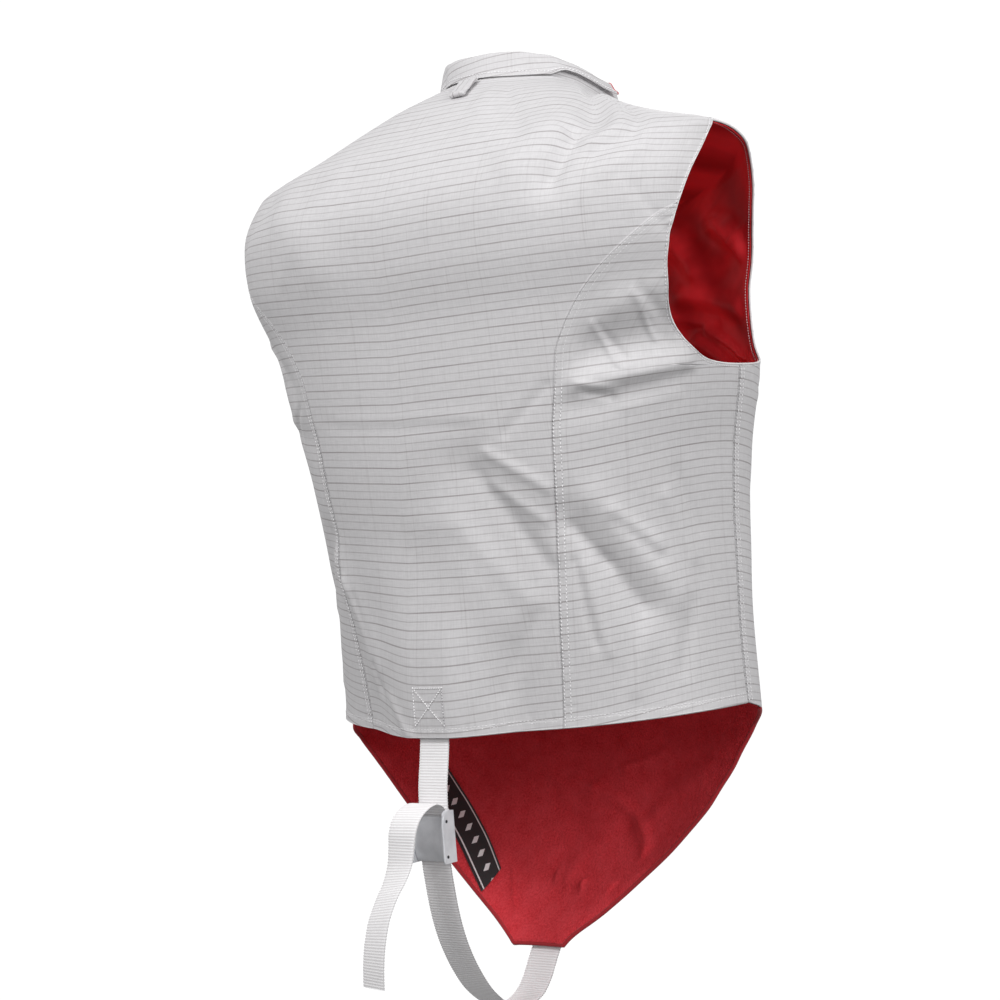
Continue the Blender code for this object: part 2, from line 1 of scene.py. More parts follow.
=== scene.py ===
# %% [markdown]
# # A fencing lame in Blender, piece by piece
# A lame is the sleeveless jacket that a foil fencer wears over the white one. Its cloth is woven with
# fine metal thread, so that a touch closes the scoring circuit. This lesson dresses the plain solids of
# such a jacket: every cloth panel becomes a thin shell with creases, seams and stitching, and the strap,
# the buckle, the zip and the lining get their own surfaces and finishes.
#
# All shapes below are worked out as whole numpy arrays. Sizes are in millimetres until a mesh is made.

# %% Load the frame
import math

import bpy
import numpy as np
from mathutils import Matrix


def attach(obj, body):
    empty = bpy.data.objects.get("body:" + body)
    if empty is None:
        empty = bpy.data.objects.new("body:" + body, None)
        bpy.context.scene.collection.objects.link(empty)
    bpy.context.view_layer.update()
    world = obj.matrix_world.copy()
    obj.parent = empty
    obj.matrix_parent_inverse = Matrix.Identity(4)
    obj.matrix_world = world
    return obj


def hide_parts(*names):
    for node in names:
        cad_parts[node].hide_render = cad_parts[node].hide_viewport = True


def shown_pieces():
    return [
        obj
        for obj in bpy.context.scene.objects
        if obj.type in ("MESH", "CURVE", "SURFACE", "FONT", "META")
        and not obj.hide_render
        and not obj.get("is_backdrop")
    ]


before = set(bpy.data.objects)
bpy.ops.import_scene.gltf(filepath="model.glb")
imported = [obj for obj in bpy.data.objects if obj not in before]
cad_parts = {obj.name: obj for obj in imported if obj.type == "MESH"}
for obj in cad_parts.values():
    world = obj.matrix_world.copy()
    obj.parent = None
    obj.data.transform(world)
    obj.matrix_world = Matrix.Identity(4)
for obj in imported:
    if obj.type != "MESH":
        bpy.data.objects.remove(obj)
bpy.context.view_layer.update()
MM = 0.001

# %% [markdown]
# ## The camera
# The photograph was taken from behind, on the wearer's right, level with the waist, with the camera
# rolled a little. A camera can be aimed by a Track To constraint, but its roll is clearer as a matrix:
# three unit vectors for right, up and backwards, and a place.

# %% Camera
TURN, AROUND, PITCH, ROLL = (math.radians(d) for d in (38.33, 37.64, 0.06, -4.52))
DISTANCE, FOCAL_PIXELS, CAMERA_HEIGHT = 1848.4, 2295.3, -314.0
SENSOR, PICTURE_PIXELS = 36.0, 1000.0


def unit(vectors):
    """Vectors brought to length 1."""
    return vectors / np.linalg.norm(vectors, axis=-1, keepdims=True)


def put_in_scene(name, data, right, up, back, place):
    """An object at a place in metres, its three axes being the columns of its matrix."""
    made = bpy.data.objects.new(name, data)
    bpy.context.scene.collection.objects.link(made)
    pose = np.eye(4)
    pose[:3] = np.stack([right, up, back, place], -1)
    made.matrix_world = Matrix(pose.tolist())
    return made


looking = np.array([math.sin(TURN) * math.cos(PITCH), -math.cos(TURN) * math.cos(PITCH), math.sin(PITCH)])
level = np.array([-math.cos(TURN), -math.sin(TURN), 0.0])
above = np.cross(level, looking)
camera_right = level * math.cos(ROLL) + above * math.sin(ROLL)
camera_up = -level * math.sin(ROLL) + above * math.cos(ROLL)
camera_place = np.array([-math.sin(AROUND) * DISTANCE, math.cos(AROUND) * DISTANCE, CAMERA_HEIGHT])
camera_data = bpy.data.cameras.new("camera")
camera_data.sensor_fit = "HORIZONTAL"
camera_data.sensor_width = SENSOR
camera_data.lens = FOCAL_PIXELS * SENSOR / PICTURE_PIXELS
camera = put_in_scene("camera", camera_data, camera_right, camera_up, -looking, camera_place * MM)
bpy.context.scene.camera = camera
print(f"lens {camera_data.lens:.1f} mm, {DISTANCE * MM:.2f} m away")

# %% [markdown]
# ## The worn surface
# A garment on a body is close to a stack of level rings. Each ring here is a superellipse, rounder or
# squarer by one power, and it dips at the front and rises at the back. The solids were made on the same
# rings. Here a finer mesh follows them, with small changes of its own: the neck seam and the right
# shoulder are lifted, and the flap's edges lie further out. The other way, to subdivide the solids,
# would keep their facets in every crease.

# %% Tables of the surface


def table(names, *rows):
    """Columns by name. The first column, at, is the height or angle, and ends up rising."""
    return dict(zip(names.split(), np.array(rows, float)[::-1].T))


NECK, SHOULDER_TIP, UNDERARM, HEM = -6.0, -48.0, -224.0, -480.0
SIDE_SEAM, PRINCESS_TOP = 91.5, -108.0
RINGS = table(
    "at half_width back_depth front_depth centre_y squareness front_drop back_lift",
    (-6, 82, 76, 54, -48, 2.0, 62, 28),
    (-18, 120, 80, 90, -14, 2.1, 56, 20),
    (-36, 178, 88, 110, 4, 2.3, 48, 15),
    (-54, 222, 96, 128, 20, 2.5, 40, 10),
    (-85, 226, 110, 136, 26, 2.7, 26, 4),
    (-125, 224, 122, 132, 18, 2.8, 12, 0),
    (-175, 211, 130, 123, 4, 2.7, 3, 0),
    (-230, 202, 138, 119, -5, 2.5, 0, 0),
    (-290, 188, 143, 113, -11, 2.4, 0, 0),
    (-350, 183, 141, 107, -13, 2.3, 0, 0),
    (-410, 183, 133, 104, -11, 2.2, 0, 0),
    (-480, 186, 122, 104, -8, 2.2, 0, -7),
    (-500, 190, 120, 101, -2, 2.2, 0, 0),
    (-530, 177, 110, 93, 4, 2.2, 0, 0),
    (-560, 153, 100, 82, 6, 2.1, 0, 0),
    (-590, 122, 80, 65, 8, 2.1, 0, 0),
    (-620, 91, 60, 43, 12, 2.0, 0, 0),
    (-645, 64, 40, 20, 15, 2.0, 0, 0),
    (-665, 37, 20, 8, 24, 2.0, 0, 0),
    (-682, 17, 10, 2, 31, 2.0, 0, 0),
)
LOWEST_RING = -682.0
ARMHOLE = table(
    "at back_edge front_edge",
    (-48, 90, 90), (-51, 87.4, 103), (-55, 85.2, 110), (-63, 82.2, 117), (-80, 77.4, 124), (-97, 73.4, 128.5),
    (-116, 69.1, 132), (-133, 66.3, 133.5), (-152, 65.3, 134), (-170, 65.7, 132.5),
    (-190, 68, 130), (-204, 71.5, 127), (-214, 76, 122), (-220, 80, 114), (-224, 91.5, 91.5),
)
PRINCESS = table(
    "at angle",
    (-108, 70.6), (-114, 64.1), (-120, 59.3), (-137, 49.2), (-153, 42.4), (-168, 38), (-189, 34),
    (-208, 32.1), (-252, 32.1), (-295, 33), (-350, 32.5), (-400, 31.6), (-480, 28.3),
)
FLAP_EDGES = table(
    "at left_edge right_edge",
    (-480, 91.5, 268.5), (-489, 76, 250), (-505, 84, 237), (-524, 89, 235), (-546, 91.5, 236),
    (-568, 92, 240), (-597, 90.5, 241.5), (-627, 93, 234), (-650, 98, 224), (-668, 102, 214),
    (-682, 100, 225),
)
NECK_SHAPE = table(
    "at lift inwards collar_share",
    (130, 0, 0, 1.0), (100, 0, 0, 1.1), (80, 3, 3, 1.2), (60, 8, 5.5, 1.1), (40, 9.6, 5, 0.95),
    (20, 3.7, 1, 0.84), (0, 0.3, 0, 0.84), (-10, 0.6, 0, 0.88), (-20, 1.8, 0, 0.91), (-30, 4.4, 0, 0.89),
    (-40, 8.2, 0, 0.78), (-50, 11.4, 0, 0.70), (-60, 11.7, 0, 0.63), (-70, 9, 0, 0.66), (-80, 5.1, 0, 0.69),
    (-90, 2, 0, 0.75), (-105, 0, 0, 1.0), (-130, 0, 0, 1.0),
)
NECK_WRAP = 216
ZIP_LINE = table("at across", (-6, 46), (-54, 52), (-125, 57), (-230, 60), (-480, 60), (-682, 60))
ZIP_END = -634.0
SHOULDER_RISE, SHOULDER_ANGLE, SHOULDER_REACH = 5.5, -88, 20
SHOULDER_HEIGHT, SHOULDER_DROP, NECK_FADE = -46, 13, -56


def smooth_read(at, values, where):
    """Monotone cubic: each stretch blends its end values and slopes, the slopes being harmonic means."""
    step = np.diff(at)
    slope = np.diff(values) / step
    tangent = np.zeros(len(at))
    before, after = slope[:-1], slope[1:]
    w_before, w_after = 2 * step[1:] + step[:-1], step[1:] + 2 * step[:-1]
    same_way = before * after > 0
    harmonic = w_before / np.where(same_way, before, 1) + w_after / np.where(same_way, after, 1)
    tangent[1:-1] = np.where(same_way, (w_before + w_after) / np.where(same_way, harmonic, 1), 0)
    tangent[0], tangent[-1] = slope[0], slope[-1]
    where = np.clip(where, at[0], at[-1])
    i = np.clip(np.searchsorted(at, where) - 1, 0, len(at) - 2)
    s = (where - at[i]) / step[i]
    return ((1 + 2 * s) * (1 - s) ** 2 * values[i] + s * (1 - s) ** 2 * step[i] * tangent[i]
            + s * s * (3 - 2 * s) * values[i + 1] + s * s * (s - 1) * step[i] * tangent[i + 1])


def read(columns, name, where):
    """One column of a table at any height or angle."""
    return smooth_read(columns["at"], columns[name], np.asarray(where, float))


def soft_step(start, end, value):
    """0 before start, 1 after end, 3t^2 - 2t^3 between."""
    t = np.clip((np.asarray(value, float) - start) / (end - start), 0, 1)
    return t * t * (3 - 2 * t)


def bell(value, width):
    """exp(-(value / width)^2): 1 at the middle and near 0 at twice the width."""
    return np.exp(-(value / width) ** 2)


def signed(angle, most=180):
    """Angles above most counted the other way round, as negative ones."""
    return np.where(np.asarray(angle) > most, np.asarray(angle) - 360, angle)


def neck_value(name, angle):
    """How far the neck seam is lifted or drawn in at an angle, or the collar's share of its full height."""
    return read(NECK_SHAPE, name, signed(angle, NECK_WRAP))


def plain_body(angle, height):
    """x = width |sin|^(2/n), y = depth |cos|^(2/n). The ring tilts with cos^2; the neck has its own lift."""
    shoulder = SHOULDER_RISE * np.exp(-((signed(angle) - SHOULDER_ANGLE) / SHOULDER_REACH) ** 2
                                      - ((np.asarray(height) - SHOULDER_HEIGHT) / SHOULDER_DROP) ** 2)
    near_neck = soft_step(NECK_FADE, NECK, height)
    lift, inwards = neck_value("lift", angle) * near_neck, neck_value("inwards", angle) * near_neck
    angle, height = np.broadcast_arrays(np.radians(angle), np.asarray(height, float))
    sine, cosine = np.sin(angle), np.cos(angle)
    power = 2 / read(RINGS, "squareness", height)
    depth = np.where(cosine > 0, read(RINGS, "back_depth", height), read(RINGS, "front_depth", height))
    tilt = np.where(cosine > 0, read(RINGS, "back_lift", height), -read(RINGS, "front_drop", height))
    x = read(RINGS, "half_width", height) * np.sign(sine) * np.abs(sine) ** power
    y = read(RINGS, "centre_y", height) + depth * np.sign(cosine) * np.abs(cosine) ** power
    return np.stack([x - inwards * sine, y - inwards * cosine,
                     height + tilt * cosine ** 2 + lift + shoulder], -1)


def angle_across(x, height):
    """The superellipse's width formula solved for the angle: asin((x / half width)^(n / 2)) in degrees."""
    share = np.clip(x / read(RINGS, "half_width", height), 0, 1)
    return np.degrees(np.arcsin(share ** (read(RINGS, "squareness", height) / 2)))


def outward_of(surface, angle, height):
    """Unit normals: the cross product of a small step up and a small step round."""
    round_step = surface(angle + 0.15, height) - surface(angle - 0.15, height)
    up_step = surface(angle, height + 0.5) - surface(angle, height - 0.5)
    return unit(np.cross(up_step, round_step))


print("rings:", len(RINGS["at"]), "tables ready")

# %% [markdown]
# ## Folds and creases
# Cloth that hangs from the shoulders makes long soft folds where it is pulled, and short sharp ones where
# it is pushed together, such as below the armhole. Here each fold is one row: where it starts and ends,
# how wide it is and how far it stands out. A noise texture would be quicker, but it spreads the same
# lumps all over, and real creases have a direction and a cause.

# %% Fold tables: from angle, from height, to angle, to height, width, rise
MAIN_FOLDS = (
    (-52, -30, -31, -84, 15, -4.0), (-40, -28, -22, -70, 14, 3.0), (-43, -209, -64, -199, 16, -7.5),
    (-38, -231, -72, -219, 8.5, 3.0), (-38, -248, -70, -240, 11, -2.4), (-36, -330, -56, -402, 16, -4.5),
    (-44, -318, -66, -392, 15, 3.5), (-10, -286, -29, -368, 19, -4.0), (-4, -330, -16, -400, 18, 3.0),
    (34, -352, 20, -432, 15, 4.0), (38, -252, 50, -246, 14, -2.0), (40, -334, 58, -396, 17, -4.0),
    (56, -184, 44, -204, 16, -3.5), (30, -70, 16, -118, 17, 2.5), (150, -110, 168, -190, 18, -3.5),
    (206, -120, 190, -186, 17, -3.0), (112, -262, 140, -248, 16, -4.0), (238, -266, 218, -250, 16, -3.5),
    (132, -350, 150, -430, 18, 3.5), (230, -342, 214, -418, 19, 4.0), (170, -300, 196, -312, 18, -3.0),
    (150, -520, 172, -596, 18, 3.0), (214, -512, 196, -580, 18, 3.0),
)
CREASES = (
    # below the collar, on the wearer's right
    (-74, -6, -36, -54, 5.5, -2.9), (-36, -54, -31, -84, 6.5, -2.2), (-72, -16, -41, -62, 5, 1.7),
    (-66, -30, -55, -53, 6, -1.7), (-53, -58, -42, -70, 6, -1.5), (-58, -67, -46, -82, 7, 0.8),
    (-27, -18, -22, -52, 7, -0.9), (-20, -12, -12, -40, 8, 0.7),
    # below the armhole, on the wearer's right
    (-57, -183, -62, -204, 3.0, 1.2), (-50, -176, -66, -164, 12, 1.6),
    (-42, -190, -49.5, -220, 2.4, 1.0), (-44, -194, -52, -216, 3.6, -0.9),
    (-54, -170, -61, -188, 3.4, 0.8), (-57, -168, -66, -190, 5.0, -0.8),
    (-40, -237.5, -48.5, -243.5, 2.0, -1.7), (-39, -232, -49, -237, 2.6, 1.2),
    (-49, -240, -74, -231, 4.2, -1.0), (-47, -231, -73, -223, 4.2, 0.7), (-52, -252, -70, -244, 5, 0.8),
    # the side panel's long diagonals
    (-37, -336, -47, -366, 5.0, -1.5), (-46, -362, -55.5, -398, 6.0, -1.2),
    (-49, -326, -62, -354, 5.0, 1.2), (-51, -334, -62, -364, 6.0, -1.0),
    (-37, -362, -40.5, -424, 3.2, -1.3), (-40, -366, -44, -430, 4.5, 1.0),
    (-66, -318, -74, -366, 6.0, 1.1), (-70, -300, -78, -345, 5.0, -0.9),
    (-58, -410, -50, -458, 7.0, 0.9), (-72, -400, -66, -446, 7.0, -0.8),
    # the back's own creases
    (-15, -276, -31, -306, 4.2, 1.2), (-12, -290, -30, -364, 6.5, -1.2), (-16, -300, -30, -330, 4.0, 0.9),
    (-8, -330, -25, -392, 8.0, 0.8), (19, -240, -14, -249, 4.5, 0.35), (24, -244, -10, -256, 5.0, -0.3),
    (-26, -398, -14, -452, 7.0, -0.9), (-30, -232, -20, -262, 5.0, -0.8),
    (31, -366, 21, -426, 4.0, 1.3), (28, -380, 18, -446, 4.5, -1.3), (14, -60, 26, -122, 9.0, 0.7),
    (40, -64, 58, -96, 8.0, -0.8), (-56, -96, -66, -128, 6.0, -0.7), (12, -452, 6, -478, 4.0, 1.0),
    # the left side, which the photograph hides
    (40, -226, 50, -240, 3.4, -0.8), (52, -236, 76, -226, 5.0, 0.6), (50, -246, 72, -238, 5.5, -0.6),
    (60, -172, 52, -196, 4.5, 1.2), (38, -344, 50, -388, 6.0, 1.1), (64, -330, 74, -380, 6.5, -1.0),
    (70, -404, 62, -450, 7.0, 0.9), (84, -300, 80, -352, 5.5, 0.8),
    # the front
    (128, -214, 112, -246, 4.0, -1.4), (124, -226, 104, -252, 4.5, 1.2), (232, -216, 248, -244, 4.0, -1.4),
    (238, -222, 252, -250, 4.6, 0.6), (140, -96, 156, -140, 6.0, 0.9), (218, -98, 204, -148, 6.5, -0.9),
    (150, -250, 172, -284, 7.0, -0.9), (116, -330, 134, -392, 6.5, 1.0), (246, -320, 232, -380, 7.0, -1.0),
    (206, -420, 190, -470, 7.0, 0.8), (152, -440, 170, -486, 7.0, -0.8), (132, -90, 122, -132, 6.0, -0.9),
    (214, -84, 221, -130, 6.0, 0.8), (160, -560, 178, -622, 7.0, -0.9), (204, -548, 190, -600, 7.0, 0.9),
)
LINING_FOLDS = (
    # satin that sags away from the shell, seen through the armhole
    (196, -88, 203, -132, 11, 1.7), (212, -88, 226, -130, 11, 1.9), (199, -152, 227, -179, 9, 1.1),
    (196, -172, 211, -183, 3.2, 0.8), (207, -186, 227, -215, 2.6, 1.0), (204, -196, 218, -219, 8, 1.4),
    (229, -98, 220, -109, 2.6, 0.5), (230, -122, 221, -131, 2.8, 0.5), (230, -150, 223, -157, 2.6, 0.4),
    (240, -120, 232, -160, 5, 0.8), (250, -222, 232, -238, 5, 1.0),
    (138, -90, 150, -152, 11, 1.8), (126, -160, 142, -214, 8, 1.8), (120, -200, 108, -226, 5, 1.2),
    # the flap's inner face
    (118, -502, 140, -528, 6, 1.2), (177.5, -559, 219, -604, 4.0, 2.8), (169, -552, 177.5, -559, 3.6, 2.2),
    (182.5, -523, 186.5, -543, 3.8, 2.4), (186.5, -543, 197, -529, 3.8, 2.4),
    (168, -625, 190, -630, 3.8, 2.2), (190, -630, 214, -630, 3.8, 1.9), (138.5, -620, 135.5, -644, 3.0, 1.0),
    (188, -552, 206, -572, 12.0, 1.2), (186, -520, 176, -566, 6.0, 1.2), (158, -520, 166, -572, 6.0, 1.2),
)
FOLD_MM_PER_DEGREE, BACK_REACH = 2.9, 92
CREASE_DEPTH, SATIN_DEPTH, FLAP_DEPTH = 1.7, 4.4, 1.5
ROOM_WIDER, ROOM_SHARE = 4.0, -1.15
CREASE_ROOM = tuple((*line, width + ROOM_WIDER, ROOM_SHARE * rise)
                    for *line, width, rise in CREASES if rise < 0)
PULL_OUT, PULL_OUT_FLAT, PULL_OUT_LEFT, PULL_OUT_RIGHT, PULL_OUT_START = 26.0, 13.0, 98.0, 72.0, -330.0
STRAP_X = 2.0


def folds(angle, height, rows):
    """Sum of soft ridges: rise times exp(-(distance to the fold's line / width)^2)."""
    angle, height = np.broadcast_arrays(np.asarray(angle, float), np.asarray(height, float))
    total = np.zeros(height.shape)
    for from_angle, from_height, to_angle, to_height, width, rise in rows:
        on_front = from_angle > BACK_REACH
        turn = np.where(angle < -BACK_REACH, angle + 360, angle) if on_front else signed(angle)
        start = np.array([from_angle * FOLD_MM_PER_DEGREE, from_height])
        run = np.array([to_angle * FOLD_MM_PER_DEGREE, to_height]) - start
        place = np.stack([turn * FOLD_MM_PER_DEGREE, height], -1) - start
        along = np.clip((place @ run) / (run @ run), 0, 1)
        total = total + rise * bell(np.linalg.norm(place - along[..., None] * run, axis=-1), width)
    return total


def strap_pull(angle, height):
    """The bump of the back hem where the strap draws it out: flat over the strap, then fading."""
    across = plain_body(angle, height)[..., 0] - STRAP_X
    reach = np.where(across > 0, PULL_OUT_LEFT, PULL_OUT_RIGHT)
    pull = PULL_OUT * (1 - soft_step(PULL_OUT_FLAT, reach, np.abs(across)))
    on_back = soft_step(0.0, 0.2, np.cos(np.radians(angle)))
    return pull * soft_step(PULL_OUT_START, HEM + 6, height) * on_back


def relief(angle, height, creased=1.0):
    """Main folds, creases and the strap's pull, faded out at the neck seam."""
    held = soft_step(NECK - 4, NECK - 40, height)
    fine = soft_step(NECK, NECK - 10, height)
    return (folds(angle, height, MAIN_FOLDS) * held
            + folds(angle, height, CREASES) * fine * CREASE_DEPTH * creased + strap_pull(angle, height))


def body(angle, height, creased=1.0):
    """The outer face of the cloth: the plain surface moved along its normals by the relief."""
    out = outward_of(plain_body, np.asarray(angle, float), np.asarray(height, float))
    return plain_body(angle, height) + out * relief(angle, height, creased)[..., None]


print("folds:", len(MAIN_FOLDS), "creases:", len(CREASES), "in the lining:", len(LINING_FOLDS))

# %% [markdown]
# ## Seam lines
# A panel ends where its seams run. The armhole is nearly round at its bottom, where a table read by
# height would give a corner, so it is read by the square root of the height above its lowest point.

# %% Edges of the panels


def armhole_edge(height, which):
    """An armhole edge's angle, read smoothly by the square root of the height above the underarm."""
    at, height = ARMHOLE["at"], np.asarray(height, float)
    root = np.sqrt(np.clip(height - UNDERARM, 0, None))
    inside = smooth_read(np.sqrt(at - UNDERARM), ARMHOLE[which], root)
    return np.where(height > at[-1], 90.0, np.where(height <= UNDERARM, SIDE_SEAM, inside))


def back_edge(height):
    """Where the back ends on the left: shoulder, armhole or side seam."""
    return armhole_edge(height, "back_edge")


def front_edge(height):
    """Where the front starts on the left: shoulder, armhole, side seam or the flap's own edge."""
    return np.where(np.asarray(height) < HEM, read(FLAP_EDGES, "left_edge", height),
                    armhole_edge(height, "front_edge"))


def front_end(height):
    """Where the front ends on the right."""
    return np.where(np.asarray(height) < HEM, read(FLAP_EDGES, "right_edge", height),
                    360 - armhole_edge(height, "front_edge"))


def princess_edge(height):
    """The princess seam, which runs out into the armhole."""
    height = np.asarray(height, float)
    line = read(PRINCESS, "angle", height)
    return np.where(height >= PRINCESS_TOP, back_edge(height), np.minimum(line, back_edge(height)))


def zip_angle(height):
    """The zip's angle, from its distance to the middle."""
    height = np.asarray(height, float)
    return 180 + angle_across(np.interp(height, ZIP_LINE["at"], ZIP_LINE["across"]), height)


def mm_per_degree(angle, height):
    """Length of one degree round the body."""
    return np.linalg.norm(plain_body(angle + 0.5, height) - plain_body(angle - 0.5, height), axis=-1)


def rows_of(top, bottom, step, *dense):
    """Row heights from top to bottom, a millimetre apart within 7 mm of the heights named in dense."""
    reach, closest = 7, 0.35
    even = np.linspace(top, bottom, max(2, int(round((top - bottom) / step)) + 1))
    near = [np.linspace(centre + reach, centre - reach, 2 * reach + 1) for centre in dense]
    every = np.unique(np.concatenate([even, *near]).round(3))[::-1]
    every = every[(every <= top) & (every >= bottom)]
    keep = np.concatenate([[True], np.diff(every) < -closest])
    keep[-1] = True
    return every[keep]


def spread(start, end, heights, columns, inset=(0.15, 0.15)):
    """Angles at even lengths along each row, short of both seams by the insets in millimetres."""
    share = np.linspace(0, 1, 161)
    trial = start[:, None] + (end - start)[:, None] * share
    steps = np.linalg.norm(np.diff(plain_body(trial, heights[:, None]), axis=1), axis=-1)
    length = np.concatenate([np.zeros((len(heights), 1)), np.cumsum(steps, axis=1)], axis=1)
    whole = length[:, -1:]
    first, last = np.minimum(inset[0] / whole, 0.4), 1 - np.minimum(inset[1] / whole, 0.4)
    wanted = first + (last - first) * np.linspace(0, 1, columns)
    row = np.arange(len(heights))[:, None] * 2.0
    angle = np.interp((wanted + row).ravel(), (length / whole + row).ravel(), trial.ravel())
    return angle.reshape(wanted.shape), (wanted - 0.5) * whole


SEAM_ROW = 6.3
for level_name, level_height in (("chest", -150.0), ("waist", -330.0), ("hem", -480.0)):
    ring = body(np.linspace(0, 360, 721), level_height)
    girth = np.linalg.norm(np.diff(ring, axis=0), axis=1).sum()
    print(f"girth at the {level_name}: {girth:.0f} mm")

# %% [markdown]
# ## From grid to mesh
# A thin cloth shell is two grids of points, one outside and one inside, joined round their border. The
# faces follow from the grid's own numbering, so no vertex is ever visited in a loop. A Solidify modifier
# would do the same, but here the inner face can also be given its own shape.

# %% Mesh helpers


def new_mesh(name, points, faces, finish, uv=None, slots=None, smooth=True):
    """An object from points in millimetres, quads or other polygons, a finish and a UV for each point."""
    mesh = bpy.data.meshes.new(name)
    mesh.from_pydata((np.asarray(points, float) * MM).tolist(), [], faces)
    for one in finish if isinstance(finish, (list, tuple)) else [finish]:
        mesh.materials.append(one)
    if uv is not None:
        layer = mesh.uv_layers.new(name="cloth")
        corner = np.empty(len(mesh.loops), np.int32)
        mesh.loops.foreach_get("vertex_index", corner)
        layer.data.foreach_set("uv", (np.asarray(uv, float) * MM)[corner].ravel())
    if slots is not None:
        mesh.polygons.foreach_set("material_index", np.asarray(slots, np.int32))
    mesh.polygons.foreach_set("use_smooth", np.full(len(mesh.polygons), smooth))
    mesh.update()
    made = bpy.data.objects.new(name, mesh)
    bpy.context.scene.collection.objects.link(made)
    return made


def dress(piece, node=None, body_name="garment"):
    """Hide the plain node a piece replaces, if any, and say which body carries it."""
    if node:
        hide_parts(node)
    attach(piece, body_name)
    return piece


def grid_faces(rows, columns, ring=False, ring_of_rows=False):
    """Quads of a grid, wound so that they face outwards when columns run left and rows run down."""
    index = np.arange(rows * columns).reshape(rows, columns)
    if ring:
        index = np.hstack([index, index[:, :1]])
    if ring_of_rows:
        index = np.vstack([index, index[:1]])
    return np.stack([index[:-1, :-1], index[1:, :-1], index[1:, 1:], index[:-1, 1:]], -1).reshape(-1, 4)


def signed_volume(points, faces):
    """Six times the volume inside: the sum of a . (b x c) over the two triangles of each quad."""
    a, b, c, d = (points[faces[:, k]] for k in range(4))
    return float((np.einsum("ij,ij->i", a, np.cross(b, c)) + np.einsum("ij,ij->i", a, np.cross(c, d))).sum())


def inside_out(points, quads):
    """Whether the quads of a closed form face its inside."""
    return signed_volume(points - points.mean(axis=0), quads) < 0


def wall(name, outer, inner, finish, uv=None, slot_of_row=None):
    """A closed thin wall between two grids of the same size."""
    rows, columns = outer.shape[:2]
    count = rows * columns
    index = np.arange(count).reshape(rows, columns)
    front = grid_faces(rows, columns)
    parts = [front, front[:, ::-1] + count]
    for edge in (index[0][::-1], index[-1], index[:, 0], index[::-1, -1]):
        parts.append(np.stack([edge[:-1], edge[:-1] + count, edge[1:] + count, edge[1:]], -1)[:, ::-1])
    faces = np.vstack(parts)
    points = np.vstack([outer.reshape(-1, 3), inner.reshape(-1, 3)])
    if signed_volume(points, faces) < 0:
        faces = faces[:, ::-1]
    slots = None
    if slot_of_row is not None:
        slots = np.asarray(slot_of_row)[(faces.min(axis=1) % count) // columns]
    both = None if uv is None else np.vstack([uv.reshape(-1, 2), uv.reshape(-1, 2)])
    return new_mesh(name, points, faces.tolist(), finish, both, slots)


def closed_form(name, points, quads, ends, finish, uv=None):
    """An object from a band of quads and the polygons that close its ends, turned to face outwards."""
    points = points.reshape(-1, 3)
    faces = quads.tolist() + [list(end) for end in ends]
    if inside_out(points, quads):
        faces = [face[::-1] for face in faces]
    return new_mesh(name, points, faces, finish, uv)


def along_path(path, closed=False):
    """Unit tangents of a path."""
    return unit(np.roll(path, -1, axis=0) - np.roll(path, 1, axis=0) if closed else np.gradient(path, axis=0))


def length_along(path):
    """Length from a path's start to each of its points."""
    return np.concatenate([[0.0], np.cumsum(np.linalg.norm(np.diff(path, axis=0), axis=1))])


def resample(path, pitch, closed=False):
    """Points at even steps of about the given pitch along a path."""
    path = np.vstack([path, path[:1]]) if closed else path
    at = length_along(path)
    count = max(2, int(round(at[-1] / pitch)))
    wanted = np.linspace(0, at[-1], count + 1)[: count if closed else count + 1]
    return np.stack([np.interp(wanted, at, path[:, k]) for k in range(path.shape[1])], -1)


def tube(name, path, out, radius, finish, sides=8, closed=False, flat=1.0):
    """Rings of sides points carried along a path: centre + radius (out cos t + side sin t flat)."""
    run = along_path(path, closed)
    side = unit(np.cross(run, out))
    up = np.cross(side, run)
    turn = np.linspace(0, 2 * np.pi, sides, endpoint=False)
    ring = (up[:, None] * np.cos(turn)[:, None] + side[:, None] * np.sin(turn)[:, None] * flat) * radius
    count = len(path) * sides
    ends = () if closed else (range(sides), range(count - 1, count - sides - 1, -1))
    return closed_form(name, path[:, None] + ring, grid_faces(len(path), sides, True, closed), ends, finish)


def copies(points, quads):
    """Points and quads of a small form at many places, each copy numbered after the one before."""
    one = quads[:, ::-1] if inside_out(points[0], quads) else quads
    faces = one[None] + (np.arange(len(points)) * points.shape[1])[:, None, None]
    return points.reshape(-1, 3), faces.reshape(-1, 4)


def stitches(path, out, pitch=2.9, length=2.0, width=0.6, lift=0.2, closed=False):
    """Points and quads of one stitch row: a spindle of three square rings at every pitch."""
    place = resample(np.hstack([path, out]), pitch, closed)
    place, up = place[:, :3], unit(place[:, 3:])
    run = along_path(place, closed)
    side = np.cross(run, up)
    girth = np.array([0.45, 1.0, 0.45])[:, None]
    turn = np.radians([45, 135, 225, 315])
    shape_run = np.repeat([-0.5, 0.0, 0.5], 4) * length
    shape_up = (girth * np.sin(turn)).ravel() * width * 0.6
    shape_side = (girth * np.cos(turn)).ravel() * width * 0.7
    centre = place + up * lift
    points = (centre[:, None] + run[:, None] * shape_run[:, None] + up[:, None] * shape_up[:, None]
              + side[:, None] * shape_side[:, None])
    k = np.arange(4)
    belt = np.vstack([np.stack([k + 4 * r, (k + 1) % 4 + 4 * r, (k + 1) % 4 + 4 * r + 4, k + 4 * r + 4], -1)
                      for r in (0, 1)])
    return copies(points, np.vstack([belt, [[3, 2, 1, 0], [8, 9, 10, 11]]]))


